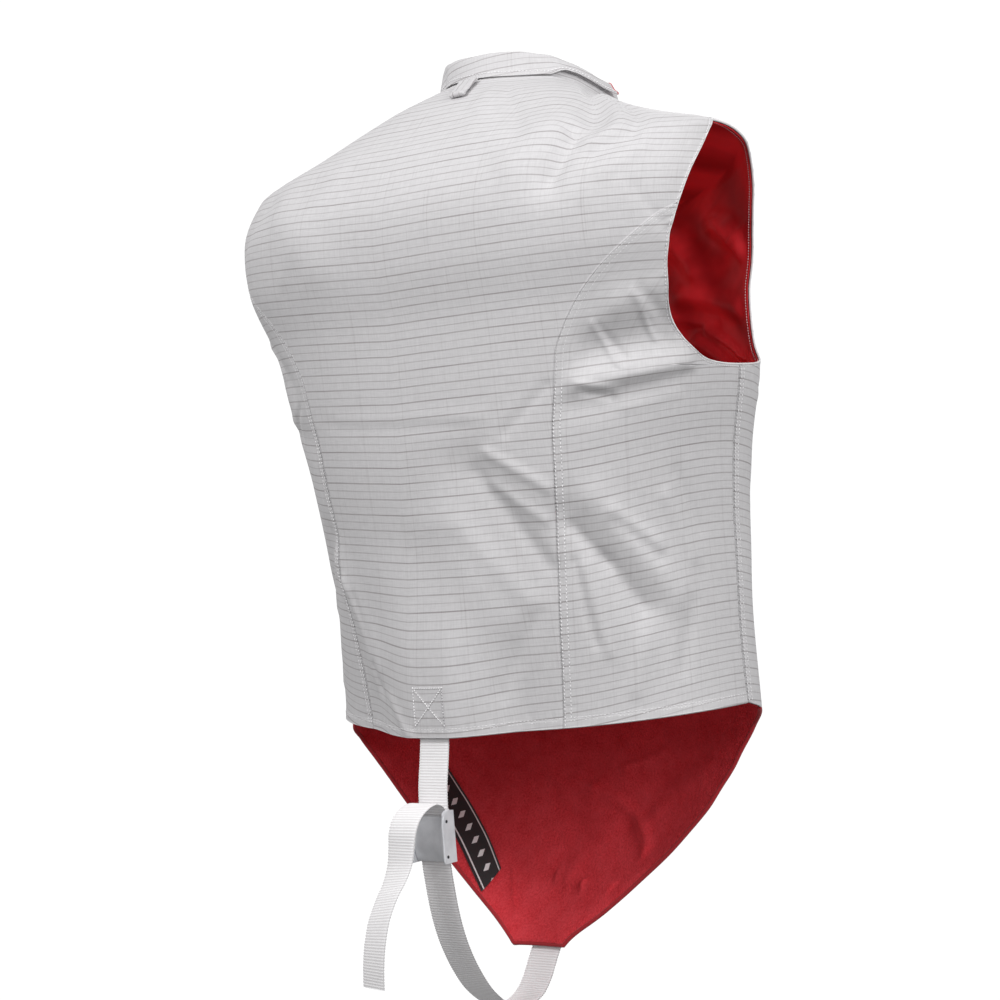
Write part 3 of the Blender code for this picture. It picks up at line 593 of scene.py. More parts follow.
def joined(name, parts, finish, smooth=True):
    """One object from several (points, faces) pairs."""
    start, points, faces = 0, [], []
    for part_points, part_faces in parts:
        points.append(part_points)
        faces.append(np.asarray(part_faces) + start)
        start += len(part_points)
    return new_mesh(name, np.vstack(points), np.vstack(faces).tolist(), finish, smooth=smooth)


def triangles_of(piece):
    """How many triangles a piece's faces make."""
    return sum(len(face.vertices) - 2 for face in piece.data.polygons)


def cloth_area(grid):
    """Area of one side of a grid in square metres."""
    a, b, c, d = grid[:-1, :-1], grid[1:, :-1], grid[1:, 1:], grid[:-1, 1:]
    return float((np.linalg.norm(np.cross(c - a, d - b), axis=-1) / 2).sum()) * MM ** 2


print("mesh helpers ready")

# %% [markdown]
# ## Finishes
# Each finish is a Principled shader fed by a few masks. Three effects serve several finishes, so they are
# node groups: evenly spaced woven lines, the uneven thickness of woven threads, and cloudy patches. They
# read the cloth's own UV map, which holds real lengths, so that a 12 mm stripe is 12 mm everywhere.

# %% Node helpers


class Nodes:
    """A node tree with short ways to add to it. Each way gives back the new node's output."""

    def __init__(self, tree):
        self.tree = tree

    def add(self, kind, values=(), **settings):
        """A node itself, with its settings, and its inputs set or linked by name or number."""
        made = self.tree.nodes.new(kind)
        for key, value in settings.items():
            setattr(made, key, value)
        for socket, value in dict(values).items():
            if isinstance(value, bpy.types.NodeSocket):
                self.tree.links.new(value, made.inputs[socket])
            else:
                made.inputs[socket].default_value = value
        return made

    def math(self, operation, *values, clamp=False):
        """One Math node."""
        return self.add("ShaderNodeMath", enumerate(values), operation=operation, use_clamp=clamp).outputs[0]

    def times(self, first, second):
        """A product."""
        return self.math("MULTIPLY", first, second)

    def plus(self, first, second, clamp=False):
        """A sum."""
        return self.math("ADD", first, second, clamp=clamp)

    def minus(self, first, second):
        """A difference."""
        return self.math("SUBTRACT", first, second)

    def stretched(self, vector, factors):
        """A vector times one factor for each axis."""
        return self.add("ShaderNodeVectorMath", {0: vector, 1: factors}, operation="MULTIPLY").outputs[0]

    def noise(self, vector, scale, **values):
        """Noise of a fineness."""
        return self.add("ShaderNodeTexNoise", {"Vector": vector, "Scale": scale, **values}).outputs[0]

    def remap(self, value, low, high, to_low=0.0, to_high=1.0, kind="LINEAR"):
        """A value carried from one range to another and held in it."""
        return self.add("ShaderNodeMapRange", {"Value": value, "From Min": low, "From Max": high,
                                               "To Min": to_low, "To Max": to_high},
                        interpolation_type=kind).outputs[0]

    def group(self, group, **values):
        """A node group's output."""
        return self.add("ShaderNodeGroup", values, node_tree=group).outputs[0]

    def mix(self, factor, first, second):
        """A colour between two, by a mask. A colour is three numbers or another node's output."""
        ends = [one if isinstance(one, bpy.types.NodeSocket) else (*one, 1.0) for one in (first, second)]
        return self.add("ShaderNodeMix", {0: factor, 6: ends[0], 7: ends[1]}, data_type="RGBA").outputs[2]


def new_group(name, **inputs):
    """A node group with one value as its output. An input is a vector where its default is None."""
    tree = bpy.data.node_groups.new(name, "ShaderNodeTree")
    for socket, value in inputs.items():
        kind = "NodeSocketVector" if value is None else "NodeSocketFloat"
        made = tree.interface.new_socket(socket, in_out="INPUT", socket_type=kind)
        if value is not None:
            made.default_value = value
    tree.interface.new_socket("Value", in_out="OUTPUT", socket_type="NodeSocketFloat")
    return Nodes(tree), tree.nodes.new("NodeGroupInput").outputs


def end_group(nodes, value):
    """Link a value to the group's output; gives back the finished group."""
    nodes.tree.links.new(value, nodes.tree.nodes.new("NodeGroupOutput").inputs["Value"])
    return nodes.tree


def line_group():
    """Mask of thin lines: distance to the middle of each spacing, through a soft step."""
    nodes, given = new_group("woven_line", Along=0.0, Spacing=0.0124, Shift=0.0, Width=0.0006)
    moved = nodes.plus(given["Along"], given["Shift"])
    share = nodes.math("FRACT", nodes.math("DIVIDE", moved, given["Spacing"]))
    away = nodes.times(nodes.math("ABSOLUTE", nodes.minus(share, 0.5)), given["Spacing"])
    edge = nodes.times(given["Width"], 0.35)
    return end_group(nodes, nodes.remap(away, edge, given["Width"], 1.0, 0.0, "SMOOTHSTEP"))


def thread_group():
    """Slubs of both thread directions: noise stretched along each, and half their sum."""
    nodes, given = new_group("thread_slub", Vector=None, Fineness=1500.0)
    ways = [nodes.noise(nodes.stretched(given["Vector"], stretch), given["Fineness"],
                        Detail=2.0, Roughness=0.6) for stretch in ((1.0, 0.09, 1.0), (0.09, 1.0, 1.0))]
    return end_group(nodes, nodes.times(nodes.plus(*ways), 0.5))


def cloud_group():
    """Cloudy patches: broad noise pulled apart around its middle."""
    nodes, given = new_group("cloudy_patch", Vector=None, Size=30.0)
    noise = nodes.noise(given["Vector"], given["Size"], Detail=3.0, Roughness=0.55)
    return end_group(nodes, nodes.remap(noise, 0.3, 0.7))


WOVEN_LINE, THREAD_SLUB, CLOUDY = line_group(), thread_group(), cloud_group()


class Finish(Nodes):
    """A material with its Principled shader, whose plain inputs are given by name."""

    def __init__(self, name, roughness, **inputs):
        self.material = bpy.data.materials.new(name)
        self.material.use_nodes = True
        super().__init__(self.material.node_tree)
        self.shader = self.tree.nodes["Principled BSDF"]
        for socket, value in {"Roughness": roughness, **inputs}.items():
            self.shader.inputs[socket.replace("_", " ")].default_value = value

    def cloth_map(self):
        """The cloth's own map in metres."""
        return self.add("ShaderNodeUVMap", uv_map="cloth").outputs[0]

    def object_place(self):
        """The place within the object."""
        return self.add("ShaderNodeTexCoord").outputs["Object"]

    def parts(self, vector):
        """The first two numbers of a vector."""
        return self.add("ShaderNodeSeparateXYZ", {0: vector}).outputs[:2]

    def slub(self, vector, fineness):
        """Uneven threads."""
        return self.group(THREAD_SLUB, Vector=vector, Fineness=fineness)

    def cloud(self, vector, size):
        """Cloudy patches."""
        return self.group(CLOUDY, Vector=vector, Size=size)

    def lines(self, along, spacing, width, shift=0.0):
        """Woven lines."""
        return self.group(WOVEN_LINE, Along=along, Spacing=spacing, Shift=shift, Width=width)

    def done(self, colour, height, distance, strength=0.5):
        """Feed the shader its colour and its relief; gives back the material."""
        bump = self.add("ShaderNodeBump", {"Height": height, "Distance": distance, "Strength": strength})
        self.tree.links.new(bump.outputs[0], self.shader.inputs["Normal"])
        self.tree.links.new(colour, self.shader.inputs["Base Color"])
        return self.material


print("groups:", WOVEN_LINE.name, THREAD_SLUB.name, CLOUDY.name)

# %% [markdown]
# ## The conductive cloth
# It is a pale grey weave with a slight metal sheen. Dark yarns cross it: a strong one every 12 mm, a
# weaker one between, and faint, uneven ones lengthwise. Lines that all have one strength look printed, so
# a slow noise thins and thickens each of them.

# %% Cloth finish
STRIPE_SPACING = 0.0122


def conductive_cloth():
    """Pale ground, two sets of cross lines, faint lengthwise lines, slubs and soft clouds."""
    cloth = Finish("conductive_cloth", 0.66, Sheen_Weight=0.12, Sheen_Roughness=0.4)
    uv = cloth.cloth_map()
    across, up = cloth.parts(uv)
    up = cloth.plus(up, cloth.times(cloth.cloud(uv, 9.0), 0.0006))
    strong = cloth.lines(up, STRIPE_SPACING, 0.00072)
    weak = cloth.lines(up, STRIPE_SPACING, 0.00058, STRIPE_SPACING / 2)
    near, far = cloth.lines(across, 0.0171, 0.0006, 0.004), cloth.lines(across, 0.0438, 0.0008, 0.011)
    uneven = cloth.remap(cloth.noise(cloth.stretched(uv, (14.0, 160.0, 1.0)), 1.0), 0.3, 0.7, 0.55, 1.0)
    lines = cloth.times(cloth.plus(cloth.times(strong, 0.62), cloth.times(weak, 0.38)), uneven)
    patch = cloth.cloud(uv, 22.0)
    faint = cloth.times(cloth.plus(cloth.times(near, 0.10), cloth.times(far, 0.14)), patch)
    slub = cloth.slub(uv, 900.0)
    ground = cloth.mix(slub, (0.470, 0.460, 0.470), (0.740, 0.728, 0.740))
    ground = cloth.mix(cloth.times(patch, 0.10), ground, (0.50, 0.485, 0.48))
    colour = cloth.mix(cloth.plus(lines, faint, clamp=True), ground, (0.155, 0.125, 0.125))
    return cloth.done(colour, cloth.minus(cloth.times(slub, 0.7), cloth.times(lines, 0.5)), 0.0003, 0.6)


CLOTH = conductive_cloth()
print("finish:", CLOTH.name)

# %% [markdown]
# ## The red lining
# The body is lined with satin, which is smooth and mirrors the light in broad bands along its folds. Those
# bands are painted shade here: slanting dark bands in the satin's colour. The flap is faced with brushed
# cloth instead: its nap is matt, speckled, and lighter where it was stroked.

# %% Lining finishes
PAINTED_SHADE_BAND_AT, PAINTED_SHADE_BAND_PITCH, PAINTED_SHADE_BAND_TURN = -0.064, 0.056, 1.4


def red_satin():
    """Deep red gloss with slanting bands of painted shade, 0.32 + 0.38 cos(phase), which a slow noise bends.
    """
    satin = Finish("red_satin", 0.42, Specular_IOR_Level=0.3, Specular_Tint=(1.0, 0.30, 0.32, 1.0))
    uv = satin.cloth_map()
    slub, patch = satin.slub(uv, 1500.0), satin.cloud(uv, 14.0)
    slant = satin.add("ShaderNodeVectorMath", {0: uv, 1: (0.83, 0.557, 0.0)},
                      operation="DOT_PRODUCT").outputs[1]
    turns = 2 * math.pi / PAINTED_SHADE_BAND_PITCH
    phase = satin.math("MULTIPLY_ADD", slant, turns, -PAINTED_SHADE_BAND_AT * turns - PAINTED_SHADE_BAND_TURN)
    phase = satin.math("MULTIPLY_ADD", patch, 2.8, phase)
    # painted shade: the dark slanting bands stand in for the light and shade of the satin's folds
    band = satin.math("MULTIPLY_ADD", satin.math("COSINE", phase), 0.38, 0.32, clamp=True)
    colour = satin.mix(slub, (0.930, 0.0440, 0.0580), (1.000, 0.0600, 0.0760))
    colour = satin.mix(band, colour, (0.34, 0.008, 0.012))
    return satin.done(colour, satin.plus(satin.times(slub, 0.06), patch), 0.0009)


def red_brushed():
    """Matt red nap: speckle, stroked patches and fine creases."""
    nap = Finish("red_brushed", 0.9, Specular_IOR_Level=0.2, Sheen_Weight=0.12, Sheen_Roughness=0.5,
                 Sheen_Tint=(1.0, 0.22, 0.26, 1.0))
    uv = nap.cloth_map()
    grain = nap.remap(nap.noise(uv, 620.0, Detail=3.0, Roughness=0.7), 0.32, 0.68)
    stroked, small = nap.cloud(uv, 16.0), nap.cloud(uv, 70.0)
    colour = nap.mix(grain, (0.540, 0.0170, 0.0250), (0.880, 0.0720, 0.0900))
    colour = nap.mix(nap.times(stroked, 0.55), colour, (0.420, 0.0120, 0.0170))
    colour = nap.mix(nap.times(small, 0.26), colour, (0.92, 0.110, 0.135))
    return nap.done(colour, nap.plus(grain, nap.times(small, 1.2)), 0.0007, 0.7)


SATIN, BRUSHED = red_satin(), red_brushed()
print("finishes:", SATIN.name, BRUSHED.name)

# %% [markdown]
# ## Webbing, metal, thread and label
# The webbing's ribs are modelled, and its finish paints shade into the hollows between them. The buckle
# is dull nickel with fine scratches, and the zip is a little brighter.

# %% Small finishes
RIB_PITCH = 2.15
LABEL_WIDE, LABEL_BORDER, LOZENGE_PITCH, LOZENGE_REACH = 16.4, 0.0134, 0.0141, 0.0030


def white_webbing():
    """White yarn with painted shade in the hollow behind each rib, and a fine thread slub."""
    band = Finish("white_webbing", 0.78, Sheen_Weight=0.15)
    uv = band.cloth_map()
    # painted shade: grey in the hollows between the modelled ribs
    painted_rib_shade = band.lines(band.parts(uv)[1], RIB_PITCH * MM, 0.00062)
    slub = band.slub(uv, 1300.0)
    ground = band.mix(slub, (0.86, 0.85, 0.86), (0.97, 0.96, 0.97))
    return band.done(band.mix(band.times(painted_rib_shade, 0.38), ground, (0.50, 0.45, 0.45)), slub, 0.0002)


def metal(name, light, dark, roughness, metallic):
    """Dull plated metal: cloudy tone, fine scratches in its roughness and relief."""
    plate = Finish(name, roughness, Metallic=metallic)
    place = plate.object_place()
    scratch = plate.noise(plate.stretched(place, (900.0, 900.0, 5200.0)), 1.0)
    rough = plate.remap(scratch, 0.25, 0.75, roughness - 0.06, roughness + 0.1)
    plate.tree.links.new(rough, plate.shader.inputs["Roughness"])
    return plate.done(plate.mix(plate.cloud(place, 90.0), light, dark), scratch, 0.00006)


def plain_thread(name, light, dark, roughness=0.7):
    """A thread or small trim: two tones mixed by a fine noise."""
    thread = Finish(name, roughness, Sheen_Weight=0.15)
    noise = thread.noise(thread.object_place(), 1400.0)
    return thread.done(thread.mix(noise, light, dark), noise, 0.0002)


def woven_label():
    """Black ground with a light line along each edge and a row of lozenges, |u| + |v| < 3 mm."""
    label = Finish("black_label", 0.6, Sheen_Weight=0.1)
    uv = label.cloth_map()
    along, across = label.parts(uv)
    off_middle = label.math("ABSOLUTE", label.minus(across, LABEL_WIDE / 2 * MM))
    edge_line = label.lines(off_middle, LABEL_BORDER, 0.0005)
    share = label.math("FRACT", label.math("DIVIDE", along, LOZENGE_PITCH))
    off_centre = label.times(label.math("ABSOLUTE", label.minus(share, 0.5)), LOZENGE_PITCH)
    lozenge = label.math("LESS_THAN", label.plus(off_centre, off_middle), LOZENGE_REACH)
    slub = label.slub(uv, 2200.0)
    ground = label.mix(slub, (0.010, 0.010, 0.011), (0.026, 0.026, 0.028))
    light = label.mix(slub, (0.62, 0.62, 0.63), (0.85, 0.85, 0.86))
    return label.done(label.mix(label.math("MAXIMUM", edge_line, lozenge), ground, light), slub, 0.0002)


WEBBING = white_webbing()
NICKEL = metal("buckle_metal", (0.80, 0.81, 0.84), (0.66, 0.67, 0.70), 0.45, 0.15)
ZIP_METAL = metal("zip_metal", (0.58, 0.58, 0.60), (0.40, 0.40, 0.42), 0.32, 0.9)
DARK_PIN = metal("pin_metal", (0.06, 0.06, 0.065), (0.03, 0.03, 0.034), 0.4, 0.6)
# painted highlight: the armhole rolls get a lighter grey than the cloth, for the bright rim of the fold
PAINTED_HIGHLIGHT_EDGE = plain_thread("turned_edge_painted_highlight", (0.74, 0.73, 0.74), (0.90, 0.89, 0.90))
THREAD = plain_thread("white_thread", (0.86, 0.85, 0.86), (0.97, 0.96, 0.97))
PIPING = plain_thread("red_piping", (0.55, 0.02, 0.03), (0.42, 0.012, 0.02), 0.5)
PINK_THREAD = plain_thread("lining_thread", (0.90, 0.52, 0.56), (0.95, 0.74, 0.77))
FLAP_EDGE = plain_thread("flap_edge", (0.42, 0.016, 0.024), (0.30, 0.010, 0.015), 0.95)
ZIP_TAPE = plain_thread("zip_tape", (0.50, 0.49, 0.50), (0.62, 0.61, 0.62), 0.8)
LABEL_BLACK = woven_label()
print("small finishes ready, webbing ribs every", RIB_PITCH, "mm")

# %% [markdown]
# ## Sewn relief
# Where two panels meet, the cloth dips into the seam, stands up over the turned edges beside it, and dips
# again under the topstitching. Thread is pulled tight, so tiny puckers run along each row. All of this
# is a function of the distance to the seam, so it is added to the surface like the folds were.

# %% Seam relief
FAR = 99.0


def pucker(along, seed):
    """Uneven small waves: three sines of unlike lengths."""
    return (np.sin(along * 0.71 + seed) + 0.7 * np.sin(along * 0.43 + 2.1 * seed)
            + 0.5 * np.sin(along * 1.13 + 0.7 * seed)) / 2.2


def felled(away):
    """1 over the cloth that is folded under beside a seam, 0 elsewhere."""
    return soft_step(0.2, 1.4, away) * soft_step(8.2, 6.6, away)


def seam_relief(angle, height):
    """Groove at each seam, a raised felled edge beside it, a dip under the second row, and puckers."""
    turn = signed(angle)
    size = mm_per_degree(angle, height)
    total = np.zeros(np.broadcast(angle, height).shape)
    princess = np.where(height < PRINCESS_TOP, princess_edge(height), 400.0)
    pulled = 0.10 + 0.90 * soft_step(-200, -280, height)
    for sign, seed in ((1, 0.4), (-1, 1.9)):
        away = (sign * turn - princess) * size
        rows = -0.45 * bell(away - SEAM_ROW, 0.8) - 0.3 * bell(away - 1.6, 0.6)
        waves = 0.30 * pucker(height, seed) * bell(away - 3.5, 5.5)
        total = total + (-0.6 * bell(away, 0.8) + 0.55 * felled(away) + rows + waves) * pulled
    below = height < UNDERARM + 4
    for seam in (SIDE_SEAM, -SIDE_SEAM):
        away = np.abs(turn - seam) * size
        groove_and_fell = -0.8 * bell(away, 1.0) + 0.5 * felled(away) * (np.abs(turn) > SIDE_SEAM)
        total = total + (groove_and_fell + 0.25 * pucker(height, 3.1) * bell(away - 3, 5)) * below
    return total


def edge_relief(distance, along, row, thick=0.45):
    """A turned edge: thicker up to its stitch row, which dips, with puckers on both sides."""
    turned = thick * soft_step(row + 1.6, row - 0.4, distance)
    return turned - 0.45 * bell(distance - row, 0.8) + 0.32 * pucker(along, 5.2) * bell(distance - row, 4.5)


def armhole_distance(angle, height):
    """Rough distance to the armhole's edge in millimetres: to both edges, and to its lowest point."""
    turn, size = np.abs(signed(angle)), mm_per_degree(angle, height)
    beside = (height > UNDERARM) & (height < SHOULDER_TIP)
    sides = [np.where(beside, np.abs(turn - edge_of(height)) * size, FAR)
             for edge_of in (back_edge, front_edge)]
    return np.minimum(np.minimum(*sides), np.hypot((turn - SIDE_SEAM) * size * 0.35, height - UNDERARM))


def sewn_body(angle, height):
    """The worn surface with its folds, seams and turned edges."""
    out = outward_of(body, np.asarray(angle, float), np.asarray(height, float))
    extra = seam_relief(angle, height)
    extra = extra + edge_relief(armhole_distance(angle, height), height * 1.3 + angle, 1.9, 0.25)
    return body(angle, height) + out * extra[..., None]


print("seam rows", SEAM_ROW, "mm apart")

# %% [markdown]
# ## The stripes' own map
# The cross lines of a cut panel are straight on the flat cloth. Their height on the body is the length
# of cloth below them, measured up the centre line. The side panels are cut at a slant, so that their
# lines climb towards the side seam, and near the strap the lines are drawn down with the hem. On the
# fronts the lines run level.

# %% Cloth maps


def centre_length(height, angle):
    """Length of cloth from the lowest ring up a centre line to a height."""
    at = np.linspace(LOWEST_RING, NECK, 1400)
    return np.interp(height, at, length_along(plain_body(angle, at)))


def back_map(angle, height, across):
    """u across from the centre; v up, less the left lean, plus the drag of the strap."""
    x = plain_body(angle, height)[..., 0]
    lean = 0.07 * np.clip(x - 20, 0, None) * soft_step(-460, -400, height)
    low = soft_step(-372, -480, height)
    drag = low * (11.0 * soft_step(8, 76, x) + 5.0 * soft_step(4, 110, -x))
    return np.stack([across, centre_length(height, 0.0) - lean - drag + 7.0 * low], -1)


def side_map(angle, height, across):
    """v falls behind by 0.03 r + 5 (1 - cos(pi r / 130)), r being the distance from the princess seam."""
    run = np.abs(across)
    lift = (0.03 * run + 5.0 * (1 - np.cos(np.pi * run / 130))) * soft_step(-150, -300, height)
    return np.stack([across, centre_length(height, 0.0) - lift], -1)


def front_map(angle, height, across):
    """v is the length up the centre line to the point's own level, and past the neck 1.2 times the rise."""
    at = np.linspace(LOWEST_RING, NECK, 700)
    line_level = plain_body(180.0, at)[..., 2]
    level_here = plain_body(angle, height)[..., 2]
    past_neck = np.clip(level_here - line_level[-1], 0, None)
    up = np.interp(level_here, line_level, centre_length(at, 180.0)) + 1.2 * past_neck
    return np.stack([across, up - 0.0018 * (angle - 180) ** 2], -1)


print(f"cloth up the centre of the back: {centre_length(NECK, 0.0) - centre_length(HEM, 0.0):.0f} mm")

# %% [markdown]
# ## Back and side panels
# The back is one wide panel between two princess seams, which curve out into the armholes. A side panel
# lies outside each. The hem is turned up and stitched.

# %% Back panels
SHELL, INSIDE, HEM_ROW = 1.0, 1.5, 7.0
sheet_sizes = {}


def state_sheet(piece, outer):
    """State a panel's flat size: its widest row, its median column, and the area of its outer side."""
    width = float(np.linalg.norm(np.diff(outer, axis=1), axis=-1).sum(axis=1).max()) * MM
    length = float(np.median(np.linalg.norm(np.diff(outer, axis=0), axis=-1).sum(axis=0))) * MM
    area = cloth_area(outer)
    sheet_sizes[piece.name] = (round(width, 3), round(length, 3), round(area, 4))


def cloth_panel(name, node, heights, start, end, columns, mapping, inset=(0.03, 0.03), hem=None,
                from_seam=None):
    """A panel: outer grid on the sewn surface, inner grid one shell inside it, mapped by its own rule."""
    angle, across = spread(start, end, heights, columns, inset)
    level_rows = np.repeat(heights[:, None], columns, axis=1)
    outer = sewn_body(angle, level_rows)
    out = outward_of(body, angle, level_rows)
    if hem is not None:
        outer = outer + out * edge_relief(level_rows - hem, across, HEM_ROW)[..., None]
    run = across if from_seam is None else from_seam(across)
    piece = wall(name, outer, outer - out * SHELL, CLOTH, mapping(angle, level_rows, run))
    state_sheet(dress(piece, node), outer)


back_rows = rows_of(NECK, HEM, 2.9, SHOULDER_TIP - 4, -114.0, UNDERARM, HEM + HEM_ROW)
edge = princess_edge(back_rows)
cloth_panel("back_centre_cloth", "back_centre", back_rows, -edge, edge, 150, back_map, hem=HEM)
side_rows = rows_of(PRINCESS_TOP - 0.8, HEM, 2.9, -114.0, UNDERARM, HEM + HEM_ROW)
seam, outside = princess_edge(side_rows), back_edge(side_rows)
for side, sign, start, end in (("left", 1, seam, outside), ("right", -1, -outside, -seam)):

    def distance_from_princess(across, sign=sign):
        """Distance from the princess seam, from the distance to the row's middle."""
        return np.abs(across).max(axis=1, keepdims=True) + sign * across

    cloth_panel(f"back_side_{side}_cloth", f"back_side_{side}", side_rows, start, end, 56, side_map,
                hem=HEM, from_seam=distance_from_princess)
print(sheet_sizes)

# %% [markdown]
# ## Fronts
# The two fronts meet at the zip on the wearer's right and run down into the pointed flap. A row near the
# tip is only a few centimetres long, so the grid narrows with it.

# %% Front panels
TIP, RIGHT_END, FLAP_START = -670.0, -612.0, -489.0


def left_front_end(height):
    """The left front ends at the zip, and below the right front's end it runs over to the flap's edge."""
    share = np.clip((RIGHT_END - height) / 22.0, 0, 1)
    beside = np.minimum(zip_angle(height), front_end(height))
    return beside + (front_end(height) - beside) * share


def zip_gap(height):
    """Half of the zip's opening in millimetres, closed below its end; one value for each row."""
    return (0.05 + 2.75 * soft_step(RIGHT_END - 6, RIGHT_END + 1, height))[:, None]


left_rows = rows_of(NECK, TIP, 3.2, SHOULDER_TIP - 4, UNDERARM, FLAP_START)
cloth_panel("front_left_cloth", "front_left", left_rows, front_edge(left_rows), left_front_end(left_rows),
            104, front_map, inset=(0.03, zip_gap(left_rows)))
right_rows = rows_of(NECK, RIGHT_END - 21.0, 3.2, SHOULDER_TIP - 4, UNDERARM, FLAP_START)
cloth_panel("front_right_cloth", "front_right", right_rows, left_front_end(right_rows),
            front_end(right_rows), 54, front_map, inset=(zip_gap(right_rows), 0.03))
print({k: v for k, v in sheet_sizes.items() if k.startswith("front")})

# %% [markdown]
# ## Lining
# The lining hangs a little slack inside the shell. Its folds only ever stand inwards, so that it never
# cuts through the cloth outside it. The upper rows are satin and the rows of the flap are brushed. Near
# the flap's edges it comes out to meet the shell.

# %% Lining panels
FACING_TOP, LINING_GAP, LINING_THICK, FACING_FADE = -430.0, 0.35, 0.6, 20


def lining_panel(name, node, heights, start, end, columns, inset=(0.15, 0.15), deeper=0.0, loose=1.0):
    """A panel inside the shell: depth plus inward folds, satin above the facing and brushed below."""
    angle, across = spread(start, end, heights, columns, inset)
    level_rows = np.repeat(heights[:, None], columns, axis=1)
    out = outward_of(body, angle, level_rows)
    near_edge = soft_step(2, 16, armhole_distance(angle, level_rows))
    to_edge = np.minimum(angle - front_edge(level_rows), front_end(level_rows) - angle)
    to_edge = np.where(level_rows < HEM, to_edge * mm_per_degree(angle, level_rows), FAR)
    off_edge = soft_step(0.5, 9, to_edge)
    depth = np.where(level_rows < FACING_TOP, FLAP_DEPTH, SATIN_DEPTH) * off_edge
    deeper = deeper * (0.35 + 0.65 * off_edge)
    slack = folds(angle, level_rows, LINING_FOLDS) * depth * near_edge * loose
    room = folds(angle, level_rows, CREASE_ROOM) * CREASE_DEPTH * near_edge
    inwards = INSIDE + LINING_GAP + slack + room + deeper
    outer = body(angle, level_rows, creased=1 - near_edge) - out * inwards[..., None]
    piece = wall(name, outer, outer - out * LINING_THICK, [SATIN, BRUSHED],
                 np.stack([across, level_rows], -1), (heights < FACING_TOP).astype(int))
    state_sheet(dress(piece, node), outer)


lining_rows = rows_of(NECK, HEM + 1.5, 5.5, SHOULDER_TIP - 4, UNDERARM, -114.0)
edge = princess_edge(lining_rows)
lining_panel("back_centre_lining", "lining_back_centre", lining_rows, -edge, edge, 72)
lining_side_rows = rows_of(PRINCESS_TOP - 0.8, HEM + 1.5, 5.5, UNDERARM, -114.0)
seam, outside = princess_edge(lining_side_rows), back_edge(lining_side_rows)
for side, start, end in (("left", seam, outside), ("right", -outside, -seam)):
    lining_panel(f"back_side_{side}_lining", f"lining_back_side_{side}", lining_side_rows, start, end, 26)
left_rows = rows_of(NECK, TIP + 1.0, 2.5, SHOULDER_TIP - 4, UNDERARM, FLAP_START)
faced = soft_step(FACING_TOP + FACING_FADE, FACING_TOP, left_rows)
left_end = left_front_end(left_rows) * (1 - faced) + front_end(left_rows) * faced
lining_panel("front_left_lining", "lining_front_left", left_rows, front_edge(left_rows), left_end, 130,
             deeper=(1.2 * faced)[:, None])
right_rows = rows_of(NECK, RIGHT_END, 4.0, SHOULDER_TIP - 4, UNDERARM)
faced = soft_step(FACING_TOP, FACING_TOP - FACING_FADE, right_rows)
lining_panel("front_right_lining", "lining_front_right", right_rows, zip_angle(right_rows),
             front_end(right_rows), 48, (1.0, 0.6), loose=(1 - faced)[:, None])
print({k: v for k, v in sheet_sizes.items() if k.endswith("lining")})

# %% [markdown]
# ## Turned edges
# Round the armholes and along the hem the cloth is folded over its own edge. A thin roll laid on the edge
# gives that fold its round, bright rim, and it hides the step between the shell and the lining. On the
# armholes that rim is a painted highlight: the roll is a lighter grey than the cloth.

# %% Edge rolls


def armhole_loop(sign, count=420):
    """The armhole's edge as a closed path of angles and heights: down the back edge, up the front."""
    share = 0.5 + 0.5 * np.cos(np.linspace(0, np.pi, count // 2))
    drop = UNDERARM + (SHOULDER_TIP - UNDERARM) * share
    down = np.stack([back_edge(drop), drop], -1)
    up = np.stack([front_edge(drop[::-1]), drop[::-1]], -1)[1:-1]
    return np.vstack([down, up]) * [sign, 1]


def roll_on(name, angles, heights, radius, finish, depth, closed=False, flat=1.0,
            slot_name="conductive_cloth"):
    """A roll of a given radius on a path of angles and heights, sunk in the cloth's edge by depth."""
    angles, heights = np.broadcast_arrays(angles, heights)
    out = outward_of(body, angles, heights)
    path = resample(np.hstack([body(angles, heights) - out * depth, out]), 1.6, closed)
    dress(tube(name, path[:, :3], path[:, 3:], radius, finish, closed=closed, flat=flat))


# the armhole rolls wear the lighter, painted highlight finish
for side, sign in (("left", 1), ("right", -1)):
    roll_on(f"armhole_roll_{side}", *armhole_loop(sign).T, 0.85, PAINTED_HIGHLIGHT_EDGE, 0.6, closed=True, flat=0.75)
roll_on("back_hem_roll", np.linspace(-SIDE_SEAM, SIDE_SEAM, 300), HEM + 0.4, 1.35, CLOTH, 1.0, flat=0.8)
down_flap = np.linspace(HEM - 7, TIP + 0.5, 160)
tip_angles = np.linspace(float(front_edge(TIP)), float(front_end(TIP)), 24)[1:-1]
flap_angles = np.concatenate([front_edge(down_flap), tip_angles, front_end(down_flap[::-1])])
flap_heights = np.concatenate([down_flap, np.full(len(tip_angles), TIP + 0.5), down_flap[::-1]])
roll_on("flap_roll", flap_angles, flap_heights, 1.75, FLAP_EDGE, 1.85, flat=0.9, slot_name="red_lining")
neck_turn = np.linspace(float(zip_angle(NECK)) - 356, float(zip_angle(NECK)) - 4, 300)
roll_on("neck_seam_roll", neck_turn, NECK - 0.6, 1.1, FLAP_EDGE, 2.0, slot_name="red_lining")
print("armhole edge:", round(float(length_along(body(*armhole_loop(1).T))[-1])), "mm round")

# %% [markdown]
# ## Topstitching
# Two rows of white thread run beside each seam, two rows hold the hem and one the armhole edge. Every
# stitch is a tiny spindle with ten faces. All spindles of a row are made at once by broadcasting one
# shape over the row's places.

# %% Stitch rows
ARMHOLE_MIDDLE, ARMHOLE_MM = (SIDE_SEAM * 1.05, -140.0), (2.6, 1.0)
BOX_LEFT, BOX_RIGHT, BOX_LOW, BOX_HIGH = -11.5, 15.5, -470.0, -444.0


def row_on(angle, height, lift=0.0):
    """A path on the sewn surface and its normals."""
    angle, height = np.broadcast_arrays(np.asarray(angle, float), np.asarray(height, float))
    out = outward_of(body, angle, height)
    return sewn_body(angle, height) + out * lift, out


